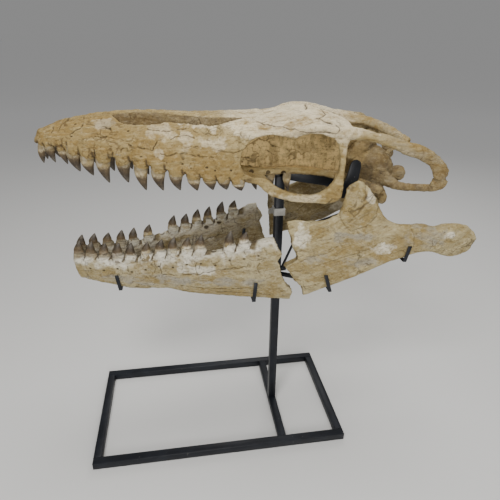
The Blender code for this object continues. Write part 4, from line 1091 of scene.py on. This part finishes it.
def dress_cranium():
    """The skull without its jaws: worked as one skin, then parted into its bones."""
    skin = Skin(whole_cranium())
    p, n = skin.rest, skin.normals
    x, _, z = p.T
    bones, near = bone_map(p)
    snout = ramp(-0.24, -0.36, x)
    roof = ramp(0.795, 0.810, z) * ramp(-0.16, -0.10, x)
    skin.weather(seed=3, strength=1 - 0.40 * roof)
    outer = ramp(0.1, 0.4, n[:, 2] + 1.2 * abs(n[:, 1]))
    wrinkled = p + 0.006 * np.column_stack([rough(p, 0.020, 3, 64 + k) for k in range(3)])
    first, second, _ = scattered(wrinkled * (0.8, 1, 1), 0.017, 69)
    crease = ramp(0.13, 0.02, second - first) * snout * outer * ramp(-0.1, 0.4, rough(p, 0.022, 3, 70))
    skin.push(-0.0013 * crease)
    skin.mask("seam", crease)
    skin.pit(0.0120, 0.0025, 0.0022, 0.42, snout * outer, 71)
    skin.pit(0.0300, 0.0034, 0.0024, 0.30, roof * outer, 73)
    skin.push(0.0012 * (snout + 0.6 * roof) * rough(p, 0.014, 2, 74))
    skin.pit(0.0070, 0.0012, 0.0009, 0.26, np.clip(snout + 0.12, 0, 1) * outer, 75)
    skin.pit(0.0160, 0.0022, 0.0016, 0.14, ramp(-0.05, 0.03, x) * outer, 79)
    for k, hole_x in enumerate(np.arange(-0.440, -0.110, 0.024)):
        for _, side in SIDES:
            drift = 0.004 * math.sin(3.1 * k + side)
            skin.hole(hole_x + drift, side * cranium_width(hole_x), gum_line(hole_x) + 0.019 + drift * 0.5,
                      0.0030, 0.0026, 1.25)
    for _, side in SIDES:
        crack_cranium(skin, side)
    for k, (width, line) in enumerate(ROOF_CREVICES):
        skin.crevice(line, width, 450 + k)
    skin.groove(np.maximum(near + 0.0008 * rough(p, 0.006, 2, 91), 0), 0.0011, 0.0009, 0.7)
    dress_orbit(skin)
    dress_nostrils(skin)
    stain_and_shade_cranium(skin)
    skin.shade_hollows_and_light_ridges()
    face_bone = bones[skin.faces[:, 0]]
    for k, name in enumerate(CRANIUM_BONES):
        slot = "bone_pale" if name.split("_")[0] in PALE_BONES else "bone"
        skin.piece(name + "_bone", face_bone == k, [name], slot, bone)


def crack_cranium(skin, side):
    """The nerve holes, cracks and creases of one flank, and the slits between its tooth roots."""
    for k, (hole_x, hole_z) in enumerate(SNOUT_HOLES):
        skin.hole(hole_x, side * (cranium_width(hole_x) - 0.003), hole_z, 0.0042, 0.0035, 1.3 + 0.5 * (k % 2))
    for k, (width, line) in enumerate(SNOUT_LINES):
        skin.line(line, width, side, 400 + k + 50 * side)
    skin.line(ROOF_SEAM, 0.0013, side, 480 + side, 0.045)
    roots = upper_roots(side)
    socket_rims(skin, roots)
    for k, rise in TOOTH_SLITS:
        gap_x = (roots[k][0][0] + roots[k + 1][0][0]) / 2
        gum = gum_line(gap_x)
        skin.line(((gap_x + 0.001, gum - 0.010), (gap_x, gum + rise)), 0.0018, side, 430 + k, 0.02, 1.7, 1.0)


def dress_orbit(skin):
    """The golden wall between the orbits, painted lighter as painted light, with three notches low in it, and
    the roof's deep holes, both darkened as painted shade.
    """
    p = skin.rest
    x, y, z = p.T
    wide = abs(y)
    wall = ramp(0.030, 0.020, wide) * ramp(-0.112, -0.098, x) * ramp(0.165, 0.130, x) * ramp(0.806, 0.796, z)
    skin.push(wall * 0.0008 * rough(p, (0.006, 0.02, 0.040), 4, 95))
    # Painted light: the recessed wall takes the light golden colour in place of light falling on it.
    skin.mask("lit_gold", wall * ramp(0.678, 0.690, z))
    skin.spot("brown", (60, 742, 16, 22), 0.8, 97, wall * 0.40)
    skin.spot("brown", (-20, 740, 10, 26), 0.8, 98, wall * 0.40)
    skin.spot("pale", (125, 705, 30, 34), 0.4, 99, wall * 0.9)
    for _, side in SIDES:
        skin.hole(0.118, side * 0.045, 0.812, 0.0120, 0.006, 1.0)
    for hole_x, hole_z in SEPTUM_NOTCHES:
        notch = ramp(0.0066, 0.0046, np.hypot(x - hole_x, z - hole_z)) * (wide < 0.050)
        skin.push(-0.003 * notch)
        skin.mask("hollow", notch)


def dress_nostrils(skin):
    """Painted shade, brown and grey, on the floor and walls of both nostrils, darker near the outer edge and
    deep down.
    """
    x, y, z = skin.rest.T
    wide = abs(y)
    line = np.array(NARIS)
    inner_edge, outer_edge = (np.interp(x, line[:, 0], line[:, k]) for k in (1, 2))
    share = np.minimum(wide / cranium_width(x), 1)
    rise = (1 - share ** across_power(x)) ** (1 / upward_power(x))
    dome = gum_line(x) + (roof_line(x) - gum_line(x)) * rise
    sunk = ramp(0.0006, 0.0030, dome - z + 0.001 * rough(skin.rest, 0.006, 2, 93))
    inside = (sunk * (x > NARIS[0][0]) * (x < NARIS[-1][0] + 0.004) * (z > 0.752)
              * (wide > inner_edge - 0.0025) * (wide < outer_edge + 0.0015))
    skin.mask("brown", inside * 0.70)
    skin.mask("grey", inside * 0.9)
    skin.mask("hollow", inside * ramp(0.030, 0.006, outer_edge - wide) * 0.45)
    skin.mask("hollow", inside * ramp(0.020, 0.036, dome - z) * 0.55)


def stain_and_shade_cranium(skin):
    """Ochre in front and along the teeth, plaster and cream on flanks and roof, brown and grey behind, and
    brown painted shade underneath and low on the braincase.
    """
    p, n = skin.rest, skin.normals
    x, y, z = p.T
    wide = abs(y)
    skin.mask("tan", ramp(-0.24, -0.38, x + 0.06 * rough(p, 0.030, 3, 101)))
    skin.mask("tan", ramp(0.060, 0.040, z - gum_line(x) + 0.012 * rough(p, 0.020, 3, 103))
              * ramp(-0.04, -0.10, x))
    skin.spot("tan", (-235, 800, 34, 10), 0.5, 104, 0.7)
    for seed, place, strength in PLASTER:
        skin.spot("pale", place, 0.75, 110 + seed, strength * (wide > 0.02))
    skin.spot("pale", (-375, 806, 16, 10), 0.8, 113, 0.45 * (wide > 0.02))
    skin.spot("grey", (-372, 806, 20, 12), 0.8, 114, 0.6 * (wide > 0.02))
    skin.mask("pale", ramp(0.786, 0.806, z) * ramp(-0.150, -0.100, x) * ramp(0.190, 0.110, x)
              * ramp(-1.3, -0.2, rough(p, 0.035, 3, 131)))
    case = ramp(0.130, 0.150, x) * ramp(0.110, 0.095, wide)
    # Painted shade: the braincase browner towards its bottom.
    skin.mask("brown", case * ramp(0.790, 0.740, z) * ramp(-0.9, 0.1, rough(p, 0.030, 3, 121)) * 0.75)
    skin.spot("lit_gold", (170, 735, 22, 24), 0.5, 122, case * 0.8)
    # Painted shade: a dark patch low on the braincase, where a crevice lies in shade.
    skin.spot("hollow", (196, 688, 14, 24), 0.5, 123, case * 0.6)
    # Painted shade: surfaces that face downwards are painted brown.
    skin.mask("brown", ramp(-0.2, -0.7, n[:, 2]) * ramp(0.13, 0.09, wide) * 0.55)
    skin.mask("grey", ramp(0.14, 0.22, x) * 0.9)
    skin.mask("tan", ramp(0.22, 0.30, x) * ramp(0.735, 0.700, z) * 0.9)
    arcade = wide > 0.05
    skin.mask("brown", ramp(0.24, 0.29, x) * ramp(0.705, 0.690, z) * arcade * 0.6)
    skin.mask("brown", ramp(0.21, 0.30, x) * arcade * ramp(-1.0, 0.3, rough(p, 0.018, 3, 125)) * 0.60)


# ---- Lower jaws ---------------------------------------------------------------------------------------

def broken(side, line, keep_front):
    """A block that cuts one jaw off along an (x, z) line."""
    beyond = 0.5 if keep_front else -0.5
    outline = list(line) + [(beyond, line[-1][1]), (beyond, line[0][1])]
    return prism(outline, side * 0.02, side * 0.30)


def roughen_break(skin, where, seed):
    """The coarse brown face where a jaw is broken off."""
    skin.push(where * 0.0016 * rough(skin.rest, 0.006, 3, seed))
    skin.mask("brown", where * 0.4)


def dress_dentary(name, side):
    """The front piece of one lower jaw."""
    thick = course(((-0.474, 0.007), (-0.455, 0.010), (-0.300, 0.012), (-0.100, 0.0125), (0.01, 0.011)))
    xs = np.concatenate([[-0.474, -0.4725, -0.470, -0.466], np.linspace(-0.460, 0.008, 90)])
    body = slab(side, xs, jaw_width, dentary_low, dentary_high, thick, thick)
    roots = lower_roots(name, side)
    body = fused(joined([body] + [pedestal(*row, reach=0.34) for row in roots]), COARSE)
    skin = Skin(fused(cut_away(body, broken(side, DENTARY_BREAK, True)), FINE, SOFTENING))
    p, n = skin.rest, skin.normals
    x, y, z = p.T
    seed = 200 if side < 0 else 240
    skin.weather(0.12, seed)
    low, high = dentary_low(x), dentary_high(x)
    share = (z - low) / (high - low)
    inner = ramp(-0.2, -0.6, side * n[:, 1])
    skin.push(-0.0045 * inner * np.exp(-((share - 0.45) / 0.20) ** 2) * ramp(-0.42, -0.30, x))
    skin.push(0.0020 * inner * np.exp(-((share - 0.80) / 0.07) ** 2) * ramp(-0.42, -0.30, x))
    with_the_jaw = np.column_stack([x, y, z - high])
    skin.push(inner * 0.0015 * rough(with_the_jaw, (0.110, 0.010, 0.008), 3, seed + 3))
    for k, hole_x in enumerate(np.arange(-0.440, -0.060, 0.031)):
        skin.hole(hole_x, side * (jaw_width(hole_x) + thick(hole_x)), dentary_high(hole_x) - 0.028
                  - 0.004 * math.sin(2.3 * k), 0.0030, 0.0026, 1.4)
    under = ramp(0.006, 0.022, high - z) * ramp(0.064, 0.045, high - z)
    bent = p + 0.006 * np.column_stack([rough(p, 0.016, 3, seed + k) for k in (14, 15, 16)])
    first, second, _ = scattered(bent * (1, 1, 0.28), 0.013, seed + 17)
    upright = ramp(0.11, 0.02, second - first) * under * ramp(0.30, 0.65, rough(p, 0.03, 2, seed + 18))
    skin.push(-0.0007 * upright)
    skin.mask("hollow", upright * 0.45)
    for k, (width, line) in enumerate(DENTARY_LINES):
        skin.line(line, width, side, seed + 500 + k)
    socket_rims(skin, roots)
    for i in LOST_TEETH[name]:
        gap_x = LOWER_TIPS[i][0] - LOWER_LEAN
        skin.hole(gap_x, side * jaw_width(gap_x), dentary_high(gap_x), 0.0085, 0.006)
    for gap_x, hole_z in SOCKET_HOLES:
        skin.hole(gap_x, side * (jaw_width(gap_x) - 0.011), hole_z, 0.0065, 0.005, 1.3)
    skin.mask("pale", ramp(0.030, 0.004, high - z + 0.016 * rough(p, 0.014, 3, seed + 21)))
    skin.mask("brown", ramp(-0.350, -0.385, x) * ramp(0.004, -0.004, high - z) * 0.8)
    for k, (stain, place, ragged, strength) in enumerate(DENTARY_STAINS):
        skin.spot(stain, place, ragged, seed + 22 + k, strength)
    # Painted shade: the inner face painted brown, more so towards its bottom, and grey.
    skin.mask("brown", inner * ramp(0.98, 0.84, share) * (0.36 + 0.25 * ramp(0.5, 0.2, share)))
    skin.mask("grey", inner * 0.8)
    roughen_break(skin, ramp(0.4, 0.8, n[:, 0]) * ramp(-0.05, -0.03, x), seed + 28)
    everything = np.ones(len(skin.faces), bool)
    skin.shade_hollows_and_light_ridges()
    skin.piece(f"dentary_{name}_bone", everything, ["dentary_" + name], "bone", jaw_bone)


def dress_ramus(name, side):
    """The rear piece of one lower jaw, parted into its three bones. The worn one is rounded off behind."""
    end = RAMUS_END[name]
    low_edge, high_edge = course(RAMUS_LOW[name]), course(RAMUS_HIGH)
    worn = RAMUS_HIGH[-1][0] > end

    def pinch(x):
        return math.sqrt(min(1.0, max(0.0, (end - x) / WORN_LENGTH))) if worn else 1.0

    def edge(line):
        def at(x):
            middle = (low_edge(x) + high_edge(x)) / 2
            return middle + (line(x) - middle) * pinch(x)
        return at

    thick_low = course(((-0.014, 0.010), (0.10, 0.012), (0.25, 0.012), (0.35, 0.015), (0.425, 0.008)))
    thick_high = course(((-0.014, 0.010), (0.090, 0.010), (0.130, 0.006), (0.190, 0.008),
                         (0.250, 0.012), (0.350, 0.015), (0.425, 0.008)))
    xs = np.concatenate([np.linspace(-0.014, 0.096, 36), np.linspace(0.099, 0.135, 24),
                         np.linspace(0.139, end - 0.020, 60),
                         end - np.array([0.016, 0.012, 0.008, 0.005, 0.0025, 0.0004])])
    body = fused(slab(side, xs, jaw_width, edge(low_edge), edge(high_edge), thick_low, thick_high), COARSE)
    skin = Skin(fused(cut_away(body, broken(side, RAMUS_BREAK[name], False)), FINE, SOFTENING))
    p, n = skin.rest, skin.normals
    x, _, z = p.T
    seed = 300 if side < 0 else 340
    outer = ramp(0.0, 0.4, side * n[:, 1])
    skin.weather(0.36, seed, 0.75)
    sloped = p.copy()
    sloped[:, 2] -= 0.36 * x
    skin.push(0.0008 * rough(sloped, (0.110, 0.014, 0.011), 3, seed + 3))
    skin.push(0.0021 * rough(sloped, (0.080, 0.030, 0.024), 2, seed + 4))
    wander = 0.0020 * rough(p, 0.014, 3, seed + 8)
    wing = np.where(within(p, CORONOID_WING), 1, -1) * away(p, CORONOID_WING + CORONOID_WING[:1]) + wander
    skin.push(outer * 0.0016 * (ramp(-0.0005, 0.0030, wing) - 0.5))
    skin.mask("hollow", outer * np.exp(-((wing + 0.0008) / 0.0012) ** 2) * 0.55)
    beside_crest = np.exp(-((away(p, CREST_LINE) - 0.008) / 0.006) ** 2)
    skin.push(outer * 0.0022 * beside_crest * ramp(0.60, 0.64, z))
    lobe = ramp(0.318, 0.345, x)
    skin.pit(0.0085, 0.0017, 0.0012, 0.30, lobe, seed + 5)
    skin.pit(0.0190, 0.0026, 0.0018, 0.14, 1 - lobe, seed + 6)
    for k, (width, line) in enumerate(RAMUS_LINES):
        skin.line(line, width, side, seed + 500 + k, 0.0, 0.6, 0.45)
    wiggle = np.column_stack([0.0035 * rough(p, 0.016, 4, seed + 60 + k) for k in range(3)])
    wx, _, wz = (p + wiggle).T
    top, tail = (0.10 * (wx - 0.140) + wz - 0.640) / 1.005, wx - 0.262
    for stain, ragged, strength, places in RAMUS_STAINS:
        for k, *place in places:
            skin.spot(stain, place, ragged, seed + k, strength)
    inner = ramp(-0.2, -0.6, side * n[:, 1])
    # Painted shade: the inner face painted brown.
    skin.mask("brown", inner * 0.50)
    roughen_break(skin, ramp(-0.4, -0.8, n[:, 0]) * ramp(0.05, 0.03, x), seed + 30)
    skin.shade_hollows_and_light_ridges()
    corner = skin.faces[:, 0]
    for piece, keep in (("coronoid", top > 0), ("articular", (top <= 0) & (tail > 0)),
                        ("surangular", (top <= 0) & (tail <= 0))):
        skin.piece(f"{piece}_{name}_bone", keep[corner], [f"{piece}_{name}"], "bone", ramus_bone)


# ---- Teeth --------------------------------------------------------------------------------------------

UPPER_PROFILE = course(((-0.25, 1.00), (0.0, 1.00), (0.20, 0.97), (0.33, 0.90), (0.42, 0.84), (0.50, 0.77),
                        (0.65, 0.60), (0.80, 0.41), (0.91, 0.24), (0.97, 0.13), (1.0, 0.05)))
LOWER_PROFILE = course(((-0.25, 1.00), (0.0, 1.00), (0.20, 0.94), (0.30, 0.84), (0.38, 0.80), (0.46, 0.80),
                        (0.58, 0.70), (0.72, 0.53), (0.85, 0.33), (0.94, 0.18), (1.0, 0.05)))


def tooth_shape(root, tip, radius, profile, seed):
    """Rings of points up one tooth and each ring's share of the way to the tip."""
    root, tip = np.array(root), np.array(tip)
    length = np.linalg.norm(tip - root)
    rings, shares = [], []
    for t in np.concatenate([np.linspace(-0.25, 0.30, 9), np.linspace(0.33, 0.47, 6),
                             np.linspace(0.52, 0.94, 12), [0.97, 0.99, 1.0]]):
        bow = -0.08 * length * math.sin(math.pi * min(max(t, 0), 1)) * (1 + 0.25 * math.sin(seed))
        centre = root + (tip - root) * t + np.array([bow, 0, 0])
        ring = []
        for j in range(24):
            turn = 2 * math.pi * j / 24
            facet = 1 + 0.020 * math.cos(9 * turn + seed) * min(max((t - 0.4) * 4, 0), 1)
            lump = 1 + 0.05 * math.sin(2 * turn + 1.7 * seed + 5 * t) * (1 - min(max(t, 0), 1))
            reach = radius * float(profile(t)) * facet * lump
            ring.append(centre + (reach * power(math.cos(turn), 0.92), 0.78 * reach * math.sin(turn), 0))
        rings.append(ring)
        shares.append(t)
    return rings, shares


def tooth_row(name, roots, profile, nodes, white, stained):
    """All teeth of one bone in one piece. white is how chalky the roots are, stained how brown."""
    bodies, marks = [], {"crown": [], "socket": [], "root_tone": [], "stain": []}
    for number, (root, tip, radius) in enumerate(roots):
        rings, shares = tooth_shape(root, tip, radius, profile, number * 1.3 + len(name))
        bodies.append(rings)
        for t in np.repeat(shares, len(rings[0])):
            marks["crown"].append(min(max(t, 0), 1) + 0.10 * math.sin(number * 2.1))
            # The socket mark is painted shade at the tooth's foot.
            marks["socket"].append(0.6 * float(ramp(0.34, 0.24, t)))
            marks["root_tone"].append(white * (0.7 + 0.3 * math.sin(number * 4.7)))
            marks["stain"].append(stained(root[0]))
    teeth = loft(*bodies, name=name)
    for label, values in marks.items():
        write(teeth.data, label, values)
    settle(teeth, nodes, "bone", enamel)


def dress_teeth():
    clean = level(0.0)
    stained_front = course(((-0.40, 0.8), (-0.34, 0.0)))
    front = []
    for name, side in SIDES:
        row = upper_roots(side)
        front += row[:FIRST_MAXILLARY_TOOTH]
        tooth_row(f"maxilla_{name}_teeth", row[FIRST_MAXILLARY_TOOTH:], UPPER_PROFILE, ["maxilla_" + name],
                  0.35, clean)
        tooth_row(f"dentary_{name}_teeth", lower_roots(name, side), LOWER_PROFILE, ["dentary_" + name],
                  1.0 if side < 0 else 0.6, stained_front)
    tooth_row("premaxilla_teeth", front, UPPER_PROFILE, ["premaxilla"], 0.3, clean)
    palate = [((x - LOWER_LEAN, side * PALATE_ROW, PALATE_ROOT_LEVEL), (x, side * PALATE_ROW, z), PALATE_ROOT)
              for _, side in SIDES for x, z in PALATE_TOOTH_TIPS]
    tooth_row("pterygoid_teeth", palate, UPPER_PROFILE, ["palate"], 0.3, clean)


# ---- Stand --------------------------------------------------------------------------------------------

THIN_PARTS = ("stand_hook", "stand_cradle", "stand_strap")
THIN_EDGE, TUBE_EDGE = 0.0006, 0.0014      # how far the edges of thin parts and of tubes are rounded


def dress_stand():
    """Every bar, plate and hook of the stand with its edges rounded off."""
    for name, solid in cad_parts.items():
        if not name.startswith("stand_"):
            continue
        skin = bmesh.new()
        skin.from_mesh(solid.data)
        bmesh.ops.remove_doubles(skin, verts=skin.verts, dist=0.00001)
        bmesh.ops.dissolve_limit(skin, angle_limit=math.radians(1), verts=skin.verts, edges=skin.edges)
        bar = shaped("bar", skin)
        bevel = bar.modifiers.new("edges", "BEVEL")
        bevel.width = THIN_EDGE if name.startswith(THIN_PARTS) else TUBE_EDGE
        bevel.segments = 3
        bevel.limit_method = "ANGLE"
        bevel.angle_limit = math.radians(25)
        bevel.harden_normals = True
        bar = baked(bar)
        bar.name = name + "_bar"
        slot, paint = ("strap", strap_weave) if name == "stand_strap" else ("steel", painted_steel)
        settle(bar, [name], slot, paint)


# ---- Studio -------------------------------------------------------------------------------------------

# Each round soft light: its name, place, width and watts
LIGHTS = (("key_light", (-0.8, -1.5, 2.3), 0.8, 42), ("top_light", (0.2, 0.3, 2.7), 1.2, 28),
          ("front_light", (0.1, -2.4, 1.25), 0.9, 26), ("fill_light", (1.7, -1.6, 1.3), 1.6, 5),
          ("back_light", (0.6, 2.0, 1.9), 1.2, 12))
LIT_POINT = (0, 0, 0.6)
FLOOR_REACH, FLOOR_LEVEL = 60.0, -0.0005
CAMERA_PLACE = (-0.2254, -0.9792, 0.9707)
CAMERA_YAW, CAMERA_PITCH, CAMERA_ROLL = (math.radians(angle) for angle in (9.16, 25.76, 0.64))
LENS, SENSOR = 32.4, 36


def studio():
    """A pale floor without an end, painted lighter further out, five soft lights and a grey air."""
    far, level_z = FLOOR_REACH, FLOOR_LEVEL
    mesh = bpy.data.meshes.new("studio_floor")
    mesh.from_pydata([(a * far, b * far, level_z) for a, b in ((-1, -1), (1, -1), (1, 1), (-1, 1))], [],
                     [(0, 1, 2, 3)])
    floor = thing_from("studio_floor", mesh)
    cover = Paint("studio_floor_paint", Roughness=1.0, Specular_IOR_Level=0.0)
    length = cover.node("VectorMath", {"operation": "LENGTH"}, cover.place).outputs["Value"]
    # Painted light: the floor is painted lighter further from the middle, making up for the lamps' falloff so
    # that it meets the grey air without a line.
    shade = cover.mix((0.66, 0.66, 0.65), (1.0, 1.0, 1.0), Value(cover, length).ramp(0.8, 6.0))
    floor.data.materials.append(cover.wear(Base_Color=shade))
    for name, place, size, watts in LIGHTS:
        data = bpy.data.lights.new(name, "AREA")
        data.shape = "DISK"
        data.size = size
        data.energy = watts
        data.color = (1.0, 0.985, 0.96)
        lamp = thing_from(name, data)
        lamp.location = place
        lamp.rotation_euler = (Vector(LIT_POINT) - Vector(place)).to_track_quat("-Z", "Y").to_euler()
    world = bpy.data.worlds.new("studio_air")
    world.use_nodes = True
    background = world.node_tree.nodes["Background"]
    background.inputs["Color"].default_value = (0.88, 0.88, 0.88, 1)
    background.inputs["Strength"].default_value = 0.30
    bpy.context.scene.world = world


def camera():
    """The camera in front of the near side, a little above the skull and looking down on it."""
    yaw, pitch, roll = CAMERA_YAW, CAMERA_PITCH, CAMERA_ROLL
    forward = Vector((math.sin(yaw) * math.cos(pitch), math.cos(yaw) * math.cos(pitch), -math.sin(pitch)))
    right = Vector((math.cos(yaw), -math.sin(yaw), 0))
    up = right.cross(forward)
    across = right * math.cos(roll) + up * math.sin(roll)
    upward = up * math.cos(roll) - right * math.sin(roll)
    data = bpy.data.cameras.new("photo_camera")
    data.lens = LENS
    data.sensor_width = SENSOR
    view = thing_from("camera", data)
    turn = Matrix((across, upward, -forward)).transposed().to_4x4()
    view.matrix_world = Matrix.Translation(CAMERA_PLACE) @ turn
    bpy.context.scene.camera = view


camera()
studio()
dress_cranium()
for jaw_name, jaw_side in SIDES:
    dress_dentary(jaw_name, jaw_side)
    dress_ramus(jaw_name, jaw_side)
dress_teeth()
dress_stand()
